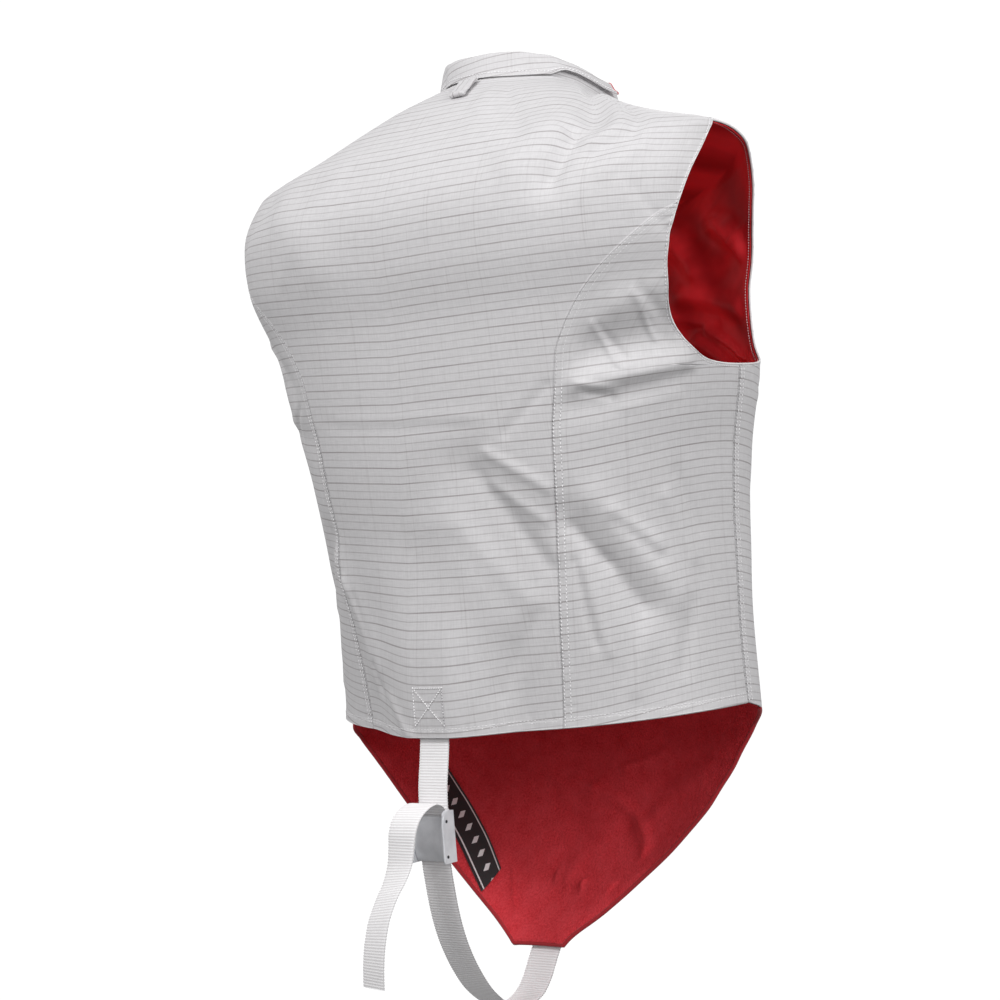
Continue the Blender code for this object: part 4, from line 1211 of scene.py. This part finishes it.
def box_rows():
    """A square and its two diagonals, on the cloth over the strap's end."""
    low_left, high_left = (BOX_LEFT, BOX_LOW), (BOX_LEFT, BOX_HIGH)
    low_right, high_right = (BOX_RIGHT, BOX_LOW), (BOX_RIGHT, BOX_HIGH)
    corners = [low_left, high_left, high_right, low_right, high_left, low_left, high_right]
    for (x0, h0), (x1, h1) in zip(corners[:-1], corners[1:]):
        x, height = np.linspace(x0, x1, 12), np.linspace(h0, h1, 12)
        yield row_on(np.sign(x) * angle_across(np.abs(x), height), height)


def armhole_rows(beyond):
    """Both armholes' edges, grown away from their middles by a distance in millimetres."""
    for sign in (1, -1):
        loop = armhole_loop(sign)
        away = loop - np.array(ARMHOLE_MIDDLE) * [sign, 1]
        yield (loop + away / np.linalg.norm(away * ARMHOLE_MM, axis=1, keepdims=True) * beyond).T


rows, fine_rows = [], []
seam_heights = np.linspace(PRINCESS_TOP - 3, HEM + 2, 200)
side_heights = np.linspace(UNDERARM - 4, HEM + 2, 130)
for sign in (1, -1):
    for offset in (1.5, SEAM_ROW):
        keep = seam_heights[princess_edge(seam_heights) + offset / 2.5 < back_edge(seam_heights) - 1]
        for found, heights in ((fine_rows, keep[keep > -236]), (rows, keep[keep < -234])):
            angle = princess_edge(heights)
            found.append(row_on(sign * (angle + offset / mm_per_degree(angle, heights)), heights))
    for offset in (1.4, SEAM_ROW):
        angle = SIDE_SEAM + offset / mm_per_degree(SIDE_SEAM, side_heights)
        rows.append(row_on(sign * angle, side_heights))
hem_line = np.linspace(-SIDE_SEAM, SIDE_SEAM, 260)
parts = [stitches(path, out) for path, out in rows]
parts += [stitches(*row_on(hem_line, HEM + offset, 0.2), width=0.42, lift=0.1) for offset in (7.0, 5.0)]
parts += [stitches(path, out, width=0.22, lift=0.03) for path, out in fine_rows]
parts += [stitches(path, out, pitch=2.3, length=1.8, width=0.8, lift=0.3) for path, out in box_rows()]
parts += [stitches(*row_on(*places, 0.1), width=0.45, lift=0.15, closed=True) for places in armhole_rows(1.9)]
topstitching = dress(joined("topstitching", parts, THREAD))
print("stitches:", len(topstitching.data.polygons) // 10)

lining_parts = []
for places in armhole_rows(2.7):
    out = outward_of(body, *places)
    lining_parts.append(stitches(body(*places) - out * 2.9, -out, pitch=2.2, length=1.5, width=0.85,
                                 closed=True))
dress(joined("armhole_lining_stitches", lining_parts, PINK_THREAD))

# %% [markdown]
# ## Collar
# The collar stands up from the neck seam, and its outer layer is turned over the top and lies back down
# on it. Towards the wearer's right that layer lifts off and ends in a narrow red edge. The turned layer
# is one profile, up the inside, over the top and down the outside, carried round the neck.

# %% Collar
COLLAR_HEIGHT, COLLAR_LEAN, COLLAR_SEAM, COLLAR_GAP = 21.0, 5.0, 0.6, 3.6
TURN_RIGHT_END, TURN_LEFT_END, TURN_FLARE, FLARE_FROM, FLARE_TO = -90.0, 98.0, 3.6, -42.0, -60.0


def collar_point(angle, rise, offset):
    """The neck ring lifted by its share of rise, leaning inwards with height, moved out by offset."""
    angle, rise, offset = np.broadcast_arrays(angle, rise, offset)
    rise = rise * neck_value("collar_share", angle)
    base = plain_body(angle, NECK)
    flat = unit(np.stack([base[..., 0], base[..., 1] - read(RINGS, "centre_y", NECK)], -1))
    move = offset - COLLAR_LEAN * rise / COLLAR_HEIGHT
    return base + np.stack([flat[..., 0] * move, flat[..., 1] * move, rise + COLLAR_SEAM], -1)


def collar_stand():
    """A wall 2 mm thick with a rounded top, open at the zip."""
    zip_at = float(zip_angle(NECK))
    angles = np.linspace(zip_at + COLLAR_GAP - 360, zip_at - COLLAR_GAP, 300)[None]
    rise = np.array([-1.0, 1.0, 4.0, 8.0, 12.0, 16.0, 19.0, 20.6, 21.3])[:, None]
    thick = np.array([1.0, 1.0, 1.0, 1.0, 1.0, 1.0, 0.9, 0.7, 0.35])[:, None]
    wave = 0.35 * np.sin(np.radians(angles) * 9 + 0.6) * soft_step(2, 16, rise)
    outer = collar_point(angles, rise, -1.1 + thick + wave)
    inner = collar_point(angles, rise, -1.1 - thick + wave)
    uv = np.stack(np.broadcast_arrays(np.radians(angles) * 72, 3.1 + rise), -1)
    return wall("collar_stand_cloth", outer, inner, CLOTH, uv)


def collar_turn():
    """The outer layer: from inside the top fold, over it and down to the neck seam, with its flare."""
    angles = np.linspace(TURN_RIGHT_END, TURN_LEFT_END, 170)[None]
    rise = np.array([18.6, 20.8, 22.2, 22.9, 22.6, 21.3, 18.5, 15.0, 11.0, 7.0, 4.0, 1.8, 0.2])[:, None]
    offset = np.array([-2.9, -2.7, -1.9, -0.5, 0.9, 1.9, 2.3, 2.3, 2.3, 2.3, 2.2, 2.1, 2.0])[:, None]
    flare = soft_step(FLARE_FROM, FLARE_TO, angles) * soft_step(21.0, 2.0, rise)
    lie = 0.5 * np.sin(np.radians(angles) * 7 + 1.0) * soft_step(21, 6, rise)
    crumple = -1.6 * bell(angles - 30, 6.0) * soft_step(21, 12, rise)
    rise_here = rise + 0.6 * np.sin(np.radians(angles) * 4.0) * soft_step(4, 18, rise)
    rise_here = rise_here + 9.0 * soft_step(-45, -56, angles) * soft_step(16, 0, rise)
    outer = collar_point(angles, rise_here, offset + TURN_FLARE * flare + lie + crumple)
    out = unit(np.cross(np.gradient(outer, axis=0), np.gradient(outer, axis=1)))
    from_middle = outer[8, 80] - [0.0, float(read(RINGS, "centre_y", NECK)), 0.0]
    if out[8, 80, :2] @ from_middle[:2] < 0:
        out = -out
    length = np.radians(angles) * 76
    uv = np.stack(np.broadcast_arrays(length, rise + 0.16 * length + 2.0), -1)
    return wall("collar_turn_cloth", outer, outer - out * 0.9, CLOTH, uv), outer, out


stand = dress(collar_stand(), "collar_stand")
turn_piece, turn_grid, turn_out = collar_turn()
dress(turn_piece, "collar_turn")
right_end = turn_grid[3:, 0] - turn_out[3:, 0] * 0.4
piping_path = resample(np.hstack([right_end, turn_out[3:, 0]]), 0.8)
dress(tube("collar_end_piping", piping_path[:, :3], piping_path[:, 3:], 0.85, PIPING))
dress(joined("collar_stitches", [stitches(turn_grid[10], turn_out[10])], THREAD))
print("collar height", COLLAR_HEIGHT, "mm, outer layer from", TURN_RIGHT_END, "to", TURN_LEFT_END, "degrees")

# %% [markdown]
# ## Contact tab
# The body cord clips to this small tab of doubled cloth below the collar. It is a strip folded on itself:
# the profile goes down the outside, round the fold and up the inside, and the tab narrows on its way.

# %% Tab
TAB_TOP_WIDTH, TAB_END_X, TAB_END_WIDTH, TAB_LENGTH, TAB_FOLD = 20.0, -13.0, 15.0, 37.0, 1.4


def contact_tab():
    """A flattened loop carried across its width: half thickness 1.2 mm, round at its lower end."""
    start, end = (body(np.float64(0.0), np.float64(NECK - drop)) for drop in (1.5, 11.0))
    down = unit(end - start)
    out = outward_of(body, np.float64(0.0), np.float64(NECK - 6.0))
    out = unit(out - down * (out @ down))
    side = np.array([1.0, 0.0, 0.0])
    fold = np.linspace(0.3, np.pi - 0.3, 7)
    straight = np.linspace(0, TAB_LENGTH - TAB_FOLD, 16)
    round_end = TAB_LENGTH - TAB_FOLD + TAB_FOLD * np.sin(fold)
    reach = np.concatenate([straight, round_end, straight[::-1]])[:, None]
    high = np.concatenate([np.full(16, 1.0), np.cos(fold), np.full(16, -1.0)])[:, None]
    share = reach / TAB_LENGTH
    puff = 1.2 + 0.9 * bell(share - 0.93, 0.09)
    across = np.linspace(-0.5, 0.5, 15)[None]
    rounding = np.sqrt(np.clip(1 - (np.abs(across) * 2) ** 8, 0.08, 1))
    from_centre = across * (TAB_TOP_WIDTH + (TAB_END_WIDTH - TAB_TOP_WIDTH) * share)
    wrinkle = 0.35 * np.sin(share * 15 + across * 5)
    points = (start + down * reach[..., None]
              + out * (2.4 + high * puff * rounding + wrinkle * 0.5)[..., None]
              + side * (TAB_END_X * share + from_centre)[..., None])
    rows_count, columns = points.shape[:2]
    index = np.arange(rows_count * columns).reshape(rows_count, columns)
    uv = np.stack(np.broadcast_arrays(reach, from_centre + 2.6), -1).reshape(-1, 2)
    ends = (index[::-1, 0].tolist(), index[:, -1].tolist())
    quads = grid_faces(rows_count, columns, ring_of_rows=True)
    return closed_form("contact_tab_cloth", points, quads, ends, CLOTH, uv)


tab = dress(contact_tab(), "contact_tab")
print("tab", TAB_LENGTH, "mm long")

# %% [markdown]
# ## Webbing
# The crotch strap is one flat band: sewn under the back hem, and again from the flap's tip, between the
# legs, up through the buckle and over its top to a free end. Ribs cross it every 2 mm. They are a sine
# along the band, deep enough to scallop its edges.

# %% Straps: routes in the side view, y and z
STRAP_WIDTH, STRAP_THICK, RIB_DEPTH, RIB_SCALLOP = 29.0, 1.5, 0.11, 0.22
BACK_STRAP = ((135.8, -446), (136.4, -466), (136.1, -487), (138.6, -504), (142.2, -522),
              (143.6, -538), (143.6, -558))
LOOP_STRAP = ((-15.2, -637.2), (-3.2, -649.2), (10.0, -661.2), (20.3, -673.0), (27.8, -683.5),
              (35.5, -694), (47, -703), (65, -707), (86, -701.5), (106, -686.5), (120.5, -667.5),
              (130.5, -649), (136.5, -633), (140.5, -617), (143.2, -600), (145.1, -585),
              (145.7, -570), (145.7, -555), (146.4, -544.5), (149.5, -538.5), (156.5, -535.8),
              (166.5, -538), (175.5, -544), (181, -553.5), (183.2, -566), (186, -577.5),
              (192.5, -588.5), (202.5, -600), (211.6, -613.5), (217.8, -629), (221.3, -645),
              (222.8, -661))
FREE_END_SWAY, FREE_END_TURN = 3.0, -math.radians(16)


def smooth_route(points, count):
    """Catmull-Rom: each stretch is a cubic through its ends with the neighbours' chords as slopes."""
    p = np.array(points, float)
    p = np.vstack([2 * p[0] - p[1], p, 2 * p[-1] - p[-2]])
    s = np.linspace(0, len(points) - 1, count)
    i = np.minimum(s.astype(int), len(points) - 2)
    t = (s - i)[:, None]
    a, b, c, d = p[i], p[i + 1], p[i + 2], p[i + 3]
    return 0.5 * (2 * b + (c - a) * t + (2 * a - 5 * b + 4 * c - d) * t ** 2
                  + (3 * b - a - 3 * c + d) * t ** 3)


def webbing(name, node, route, sway=0.0, turn=0.0):
    """A band with both faces ribbed by a sine of the length. Past the buckle it drifts and twists."""
    path = resample(smooth_route(route, 900), 0.36)
    at = length_along(path)
    run = along_path(path)
    zeros = np.zeros(len(path))
    normal = np.stack([zeros, -run[:, 1], run[:, 0]], -1)
    tangent = np.stack([zeros, run[:, 0], run[:, 1]], -1)
    middle = np.column_stack([STRAP_X + sway * soft_step(330, 430, at), path])
    angle = (turn * soft_step(325, 420, at))[:, None]
    width_way = np.cos(angle) * np.array([1.0, 0.0, 0.0]) + np.sin(angle) * normal
    normal = np.cross(width_way, tangent) * -1.0
    rib = np.sin(2 * np.pi * at / RIB_PITCH)[:, None]
    lane = np.linspace(-1, 1, 25)[None]
    half_width = STRAP_WIDTH / 2 - 0.25 + RIB_SCALLOP * rib
    edge_fall = np.sqrt(np.clip(1 - np.abs(lane) ** 14, 0.05, 1))
    selvedge = 1 - 0.25 * bell(np.abs(lane) - 0.93, 0.03)
    thick = (STRAP_THICK / 2 - RIB_DEPTH + RIB_DEPTH * rib) * (edge_fall * selvedge)
    base = middle[:, None] + width_way[:, None] * (lane * half_width)[..., None]
    swell = normal[:, None] * thick[..., None]
    uv = np.stack(np.broadcast_arrays(lane * STRAP_WIDTH / 2, at[:, None] + RIB_PITCH * 0.25), -1)
    piece = dress(wall(name, base + swell, base - swell, WEBBING, uv), node)
    print(f"{name}: {at[-1]:.0f} mm long, {triangles_of(piece)} triangles")


webbing("strap_back_webbing", "strap_back", BACK_STRAP)
webbing("strap_loop_webbing", "strap_loop", LOOP_STRAP, FREE_END_SWAY, FREE_END_TURN)

# %% [markdown]
# ## Cam buckle
# Two upright cheeks carry a base plate behind the strap and a curved lever in front of it. Each part is
# a profile in the side view, carried across, and a Bevel modifier rounds its edges, because pressed
# metal has no knife edges.

# %% Buckle
BUCKLE_WIDTH, BUCKLE_TOP, BUCKLE_HEIGHT = 33.4, -541.0, 40.0
BUCKLE_BASE_Y, BUCKLE_DEPTH, BUCKLE_WALL, BUCKLE_BEVEL = 142.2, 11.0, 1.6, 0.4
LEVER_OUT, LEVER_BULGE, LEVER_DROP, LEVER_THICK = 6.9, 4.2, 5.2, 1.8


def extruded(name, outline, low_x, high_x):
    """An outline in the side view carried from low_x to high_x, with rounded edges."""
    outline = np.asarray(outline, float)
    n = len(outline)
    points = np.vstack([np.column_stack([np.full(n, x), outline]) for x in (low_x, high_x)])
    area = np.sum(outline[:, 0] * np.roll(outline[:, 1], -1) - np.roll(outline[:, 0], -1) * outline[:, 1])
    k = np.arange(n)
    sides = np.stack([k, (k + 1) % n, (k + 1) % n + n, k + n], -1)
    faces = [list(range(n))[::-1], list(range(n, 2 * n))] + sides.tolist()
    if area < 0:
        faces = [face[::-1] for face in faces]
    piece = new_mesh(name, points, faces, NICKEL)
    rounding = piece.modifiers.new("Rounding", "BEVEL")
    rounding.width = BUCKLE_BEVEL * MM
    rounding.segments = 3
    rounding.limit_method = "ANGLE"
    rounding.angle_limit = math.radians(35)
    piece.data.set_sharp_from_angle(angle=math.radians(50))
    return piece


def arc(centre, radius, start, end, count):
    """Points on a circle between two angles in degrees."""
    turn = np.radians(np.linspace(start, end, count))
    return np.stack([centre[0] + radius * np.cos(turn), centre[1] + radius * np.sin(turn)], -1)


def pin_head(name, y, z, x, sign, radius=1.25, count=20):
    """A low round head: rings from its rim to its middle, standing out of the cheek."""
    share = np.array([1.0, 0.95, 0.75, 0.4, 0.02])[:, None]
    rise = np.array([-0.2, 0.25, 0.5, 0.62, 0.66])[:, None]
    turn = np.linspace(0, 2 * np.pi, count, endpoint=False)[None]
    points = np.stack(np.broadcast_arrays(x + sign * rise, y + radius * share * np.cos(turn),
                                          z + radius * share * np.sin(turn)), -1)
    ends = (range(4 * count, 5 * count), range(count - 1, -1, -1))
    dress(closed_form(name, points, grid_faces(5, count, True), ends, DARK_PIN))


half = BUCKLE_WIDTH / 2
top, bottom = BUCKLE_TOP, BUCKLE_TOP - BUCKLE_HEIGHT
low_y, high_y = BUCKLE_BASE_Y - BUCKLE_WALL, BUCKLE_BASE_Y + BUCKLE_DEPTH
cheek = np.vstack([[(low_y, bottom), (high_y + 1.0, bottom)],
                   arc((high_y + 0.4, bottom + 1.2), 1.1, -60, 0, 4), [(high_y + 0.6, top - 12)],
                   arc((high_y - 4.2, top - 5.0), 4.6, 25, 88, 8), [(low_y, top - 1)]])
plate = [(low_y, bottom + 4), (BUCKLE_BASE_Y, bottom + 4), (BUCKLE_BASE_Y, top - 3), (low_y, top - 3)]
share = np.linspace(0, 1, 28)
bulge = BUCKLE_BASE_Y + LEVER_OUT + LEVER_BULGE * np.sin(np.pi * share) ** 0.8
lever_z = top - LEVER_DROP + (bottom + 1.0 - (top - LEVER_DROP)) * share
lever = np.vstack([np.stack([bulge, lever_z], -1), np.stack([bulge - LEVER_THICK, lever_z], -1)[::-1]])
inside = half - BUCKLE_WALL - 0.3
for node, outline, low_x, high_x in (
        ("buckle_cheek_right", cheek, STRAP_X - half, STRAP_X - half + BUCKLE_WALL),
        ("buckle_cheek_left", cheek, STRAP_X + half - BUCKLE_WALL, STRAP_X + half),
        ("buckle_base", plate, STRAP_X - inside, STRAP_X + inside),
        ("buckle_lever", lever, STRAP_X - inside, STRAP_X + inside)):
    dress(extruded(f"{node}_metal", outline, low_x, high_x), node)

rim = np.array([(high_y + 0.7, bottom + 1.2), (high_y + 0.7, top - 12.0), (high_y - 0.3, top - 6.5),
                (high_y - 3.6, top - 1.2), (high_y - 8.0, top - 0.6)])
PIN_PLACES = (("top", BUCKLE_BASE_Y + 7.6, top - 8.5), ("low", BUCKLE_BASE_Y + 8.6, bottom + 5.0))
for side, sign in (("right", -1), ("left", 1)):
    path = resample(np.column_stack([np.full(len(rim), STRAP_X + sign * (half - 0.8)), rim]), 0.8)
    dress(tube(f"buckle_rim_{side}", path, np.tile([1.0, 0.0, 0.0], (len(path), 1)), 1.05, NICKEL))
for side, sign in (("right", -1), ("left", 1)):
    for place_name, y, z in PIN_PLACES:
        pin_head(f"pin_{place_name}_{side}", y, z, STRAP_X + sign * half, sign)
print("buckle", BUCKLE_WIDTH, "x", BUCKLE_HEIGHT, "mm")

# %% [markdown]
# ## Zip
# A metal zip closes the front. Its two rows of teeth interlock, half a pitch apart, on a cloth tape. The
# teeth are small boxes with sloped sides, made for the whole length at once.

# %% Zip chain, slider and pull: local shapes are (across, down, out)
SLIDER_HEIGHT, SLIDER_LIFT, SLIDER_THICK = -16.0, 0.5, 2.4
BAIL_LENGTH, BAIL_WIDTH, BAIL_WALL, BAIL_CLEAR = 7.2, 1.6, 1.0, 2.0
PULL_LENGTH, PULL_WIDTH, PULL_HALF_THICK = 24.0, 4.6, 0.5
TAPE_ACROSS, TAPE_OUT, TAPE_IN = (-2.6, -1.3, 0, 1.3, 2.6), (-0.5, -0.45, -0.5, -0.45, -0.5), -1.2


def zip_frame(height):
    """Place, across, down and out on the zip's line, for arrays of heights."""
    height = np.atleast_1d(np.asarray(height, float))
    angle = zip_angle(height)
    place = body(angle, height)
    out = outward_of(body, angle, height)
    above_it = np.minimum(height + 1, NECK)
    down = unit(body(zip_angle(height - 1), height - 1) - body(zip_angle(above_it), above_it))
    across = unit(np.cross(down, out))
    return place, across, down, np.cross(across, down)


def on_zip(height, shape):
    """Local points put at every height: one shape for each place."""
    place, across, down, out = zip_frame(height)
    shape = np.asarray(shape, float)
    return (place[:, None] + across[:, None] * shape[:, :1] + down[:, None] * shape[:, 1:2]
            + out[:, None] * shape[:, 2:])


def signed_power(value, power):
    """sign(v) |v|^power, which squares a circle's corners."""
    return np.sign(value) * np.abs(value) ** power


def zip_chain():
    """Tape as a thin wall, and two rows of teeth."""
    heights = np.linspace(NECK - 6, ZIP_END + 23, 240)
    tape = wall("zip_tape_cloth", on_zip(heights, [(x, 0, z) for x, z in zip(TAPE_ACROSS, TAPE_OUT)]),
                on_zip(heights, [(x, 0, TAPE_IN) for x in TAPE_ACROSS]), ZIP_TAPE)
    down_length = np.linspace(NECK - 12, ZIP_END + 24, 330)
    box = np.array([(x, y, z) for x in (-1.0, 1.0) for y in (-0.5, 0.5) for z in (-0.5, 0.35)])
    box[:, 0] *= np.where(box[:, 2] > 0, 0.85, 1.0)
    box[:, 1] *= np.where(box[:, 2] > 0, 0.8, 1.0)
    quads = np.array([(0, 1, 3, 2), (4, 6, 7, 5), (0, 4, 5, 1), (2, 3, 7, 6), (0, 2, 6, 4), (1, 5, 7, 3)])
    pitch = down_length[0] - down_length[1]
    teeth = [copies(on_zip(down_length - pitch * shift, box + [side, 0, 0]), quads)
             for side, shift in ((-0.85, 0.0), (0.85, 0.5))]
    return tape, joined("zip_teeth", teeth, ZIP_METAL, smooth=False)


def zip_slider():
    """A waisted plate and its bail, both as closed profiles on the zip's frame at its top."""
    turn = np.linspace(0, 2 * np.pi, 36, endpoint=False)
    wide = 4.0 - 0.7 * np.cos(2 * turn) * np.abs(np.sin(turn))
    outline = np.stack([wide * signed_power(np.cos(turn), 0.6), 5.5 * signed_power(np.sin(turn), 0.6)], -1)
    high = SLIDER_LIFT + SLIDER_THICK
    levels = ((0.90, SLIDER_LIFT), (1.0, SLIDER_LIFT + 0.4), (1.0, high - 0.7), (0.86, high))
    shape = np.vstack([np.column_stack([outline * size, np.full(36, z)]) for size, z in levels])
    plate = closed_form("zip_slider_plate", on_zip(SLIDER_HEIGHT, shape)[0], grid_faces(4, 36, True),
                        (range(35, -1, -1), range(108, 144)), ZIP_METAL)
    reach = BAIL_LENGTH / 2 - BAIL_WALL / 2
    arch = np.linspace(0, np.pi, 15)
    rise = (BAIL_CLEAR + BAIL_WALL / 2) * np.sin(arch) ** 0.6
    path = np.stack([np.zeros(17), np.concatenate([[-reach], -reach * np.cos(arch), [reach]]),
                     np.concatenate([[high - 0.5], high + rise, [high - 0.5]])], -1)
    across = zip_frame(SLIDER_HEIGHT)[1][0]
    return plate, tube("zip_slider_bail", on_zip(SLIDER_HEIGHT, path)[0], np.tile(across, (17, 1)),
                       BAIL_WIDTH / 2, ZIP_METAL, flat=0.62)


def zip_pull(count=48):
    """A rounded plate with a window: two rings of points, outer and inner, on two faces."""
    turn = np.linspace(0, 2 * np.pi, count, endpoint=False)

    def rounded(half_wide, low, high, power):
        """A superellipse between two ends."""
        along = (low + high) / 2 + (high - low) / 2 * signed_power(np.sin(turn), power)
        return np.stack([half_wide * signed_power(np.cos(turn), power), along], -1)

    outer = rounded(PULL_WIDTH / 2, -0.5, PULL_LENGTH - 0.5, 0.35)
    window = rounded(BAIL_WIDTH / 2 + 0.5, 0.5, BAIL_LENGTH / 2 + 1.4, 0.4)
    upper = [(window, 1.0), (outer * [0.9, 1.0], 1.0), (outer, 0.5)]
    rings = upper + [(ring, -level_here) for ring, level_here in upper[::-1]]
    axis = SLIDER_LIFT + SLIDER_THICK + BAIL_CLEAR / 2
    shape = np.vstack([np.column_stack([ring, np.full(count, axis + PULL_HALF_THICK * level_here)])
                       for ring, level_here in rings])
    return closed_form("zip_pull_metal", on_zip(SLIDER_HEIGHT, shape)[0],
                       grid_faces(len(rings), count, True, True), (), ZIP_METAL)


tape, teeth = zip_chain()
plate, bail = zip_slider()
pull = zip_pull()
for piece, node, body_name in ((tape, "zip_chain", "garment"), (teeth, None, "garment"),
                               (plate, "zip_slider", "garment"), (bail, None, "garment"),
                               (pull, "zip_pull", "pull")):
    dress(piece, node, body_name)
pull.data.set_sharp_from_angle(angle=math.radians(40))
print("zip teeth:", len(teeth.data.polygons) // 6)

# %% [markdown]
# ## Size label
# A black woven strip is sewn slantwise inside the flap. It carries a plain border line and a short row of
# lozenges, which is enough to read as a woven label.

# %% Label: its two ends, and the step across it, as x and height
LABEL_TOP, LABEL_BOTTOM, LABEL_ACROSS = (151.0, -534.0), (70.3, -619.0), (4.6, -15.4)
LABEL_LONG, LABEL_DEPTH, LABEL_THICK = 118, 4.1, 0.7


def inside_flap(x, height, depth):
    """Points inside the flap at a distance across it and a height."""
    angle = 180 - angle_across(x, height)
    return body(angle, height) - outward_of(body, angle, height) * depth[..., None]


s, t = np.meshgrid(np.linspace(0, 1, 80), np.linspace(0, 1, 14), indexing="ij")
label_x, label_height = (LABEL_TOP[k] * (1 - s) + LABEL_BOTTOM[k] * s + LABEL_ACROSS[k] * t for k in (0, 1))
label_depth = LABEL_DEPTH + 0.5 * np.sin(s * 9.0 + 1.0)
label = wall("size_label_strip", inside_flap(label_x, label_height, label_depth),
             inside_flap(label_x, label_height, label_depth + LABEL_THICK), LABEL_BLACK,
             np.stack([s * LABEL_LONG, t * LABEL_WIDE], -1))
dress(label, "size_label")
print("label", LABEL_LONG, "x", LABEL_WIDE, "mm")

# %% [markdown]
# ## Floor, light and background
# The photograph is a studio cut-out on white with light from all round, a little stronger from above and
# from the left. A weak light on the far side keeps the front from going dark when the garment is turned.
# A pale floor lies well below, where the wearer would stand.

# %% Stage
FLOOR_RADIUS, FLOOR_HEIGHT, FLOOR_GREY = 9000, -1420.0, 0.28
AMBIENT, SEEN_WHITE = 0.58, 1.05
MIDDLE = np.array([0.0, 0.0, -0.3])
LIGHTS = (  # name, distance, towards the camera, to its right, up, size, power
    ("key", 1.35, 0.72, -0.66, 0.90, 0.6, 16.0),
    ("fill", 1.9, 0.82, 0.62, 0.4, 0.8, 18.0),
    ("front", 2.0, -1.0, 0.25, 0.45, 1.0, 14.0),
)


def white_to_camera(nodes, lit, kind, output):
    """The camera sees plain white where every other ray meets the lit shader."""
    white = nodes.add(kind, {"Color": (1, 1, 1, 1), "Strength": SEEN_WHITE}).outputs[0]
    ray = nodes.add("ShaderNodeLightPath").outputs["Is Camera Ray"]
    either = nodes.add("ShaderNodeMixShader", {0: ray, 1: lit, 2: white}).outputs[0]
    nodes.tree.links.new(either, nodes.tree.nodes[output].inputs["Surface"])


turn = np.linspace(0, 2 * np.pi, 96, endpoint=False)
disc = np.stack([FLOOR_RADIUS * np.cos(turn), FLOOR_RADIUS * np.sin(turn), np.full(96, FLOOR_HEIGHT)], -1)
pale = Finish("pale_floor", 0.9, Base_Color=(FLOOR_GREY, FLOOR_GREY, FLOOR_GREY, 1))
white_to_camera(pale, pale.shader.outputs[0], "ShaderNodeEmission", "Material Output")
floor = new_mesh("floor", disc, [list(range(96))], pale.material, smooth=False)
floor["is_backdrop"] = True

world = bpy.data.worlds.new("studio")
world.use_nodes = True
background = world.node_tree.nodes["Background"]
background.inputs["Color"].default_value = (1.0, 1.0, 1.0, 1)
background.inputs["Strength"].default_value = AMBIENT
white_to_camera(Nodes(world.node_tree), background.outputs[0], "ShaderNodeBackground", "World Output")
bpy.context.scene.world = world
bpy.context.scene.view_settings.view_transform = "Standard"

for name, distance, ahead, aside, rise, size, power in LIGHTS:
    place = MIDDLE + distance * (ahead * -looking + aside * camera_right + np.array([0, 0, rise]))
    data = bpy.data.lights.new(name, "AREA")
    data.size, data.energy = size, power
    back = unit(place - MIDDLE)
    across = unit(np.cross([0.0, 0.0, 1.0], back))
    put_in_scene(name, data, across, np.cross(back, across), back, place)
print("lights set")

# %% Sizes and finish
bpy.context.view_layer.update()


counts = {piece.name: triangles_of(piece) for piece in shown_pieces() if piece.type == "MESH"}
print("triangles:", sum(counts.values()), "largest:", max(counts, key=counts.get), max(counts.values()))
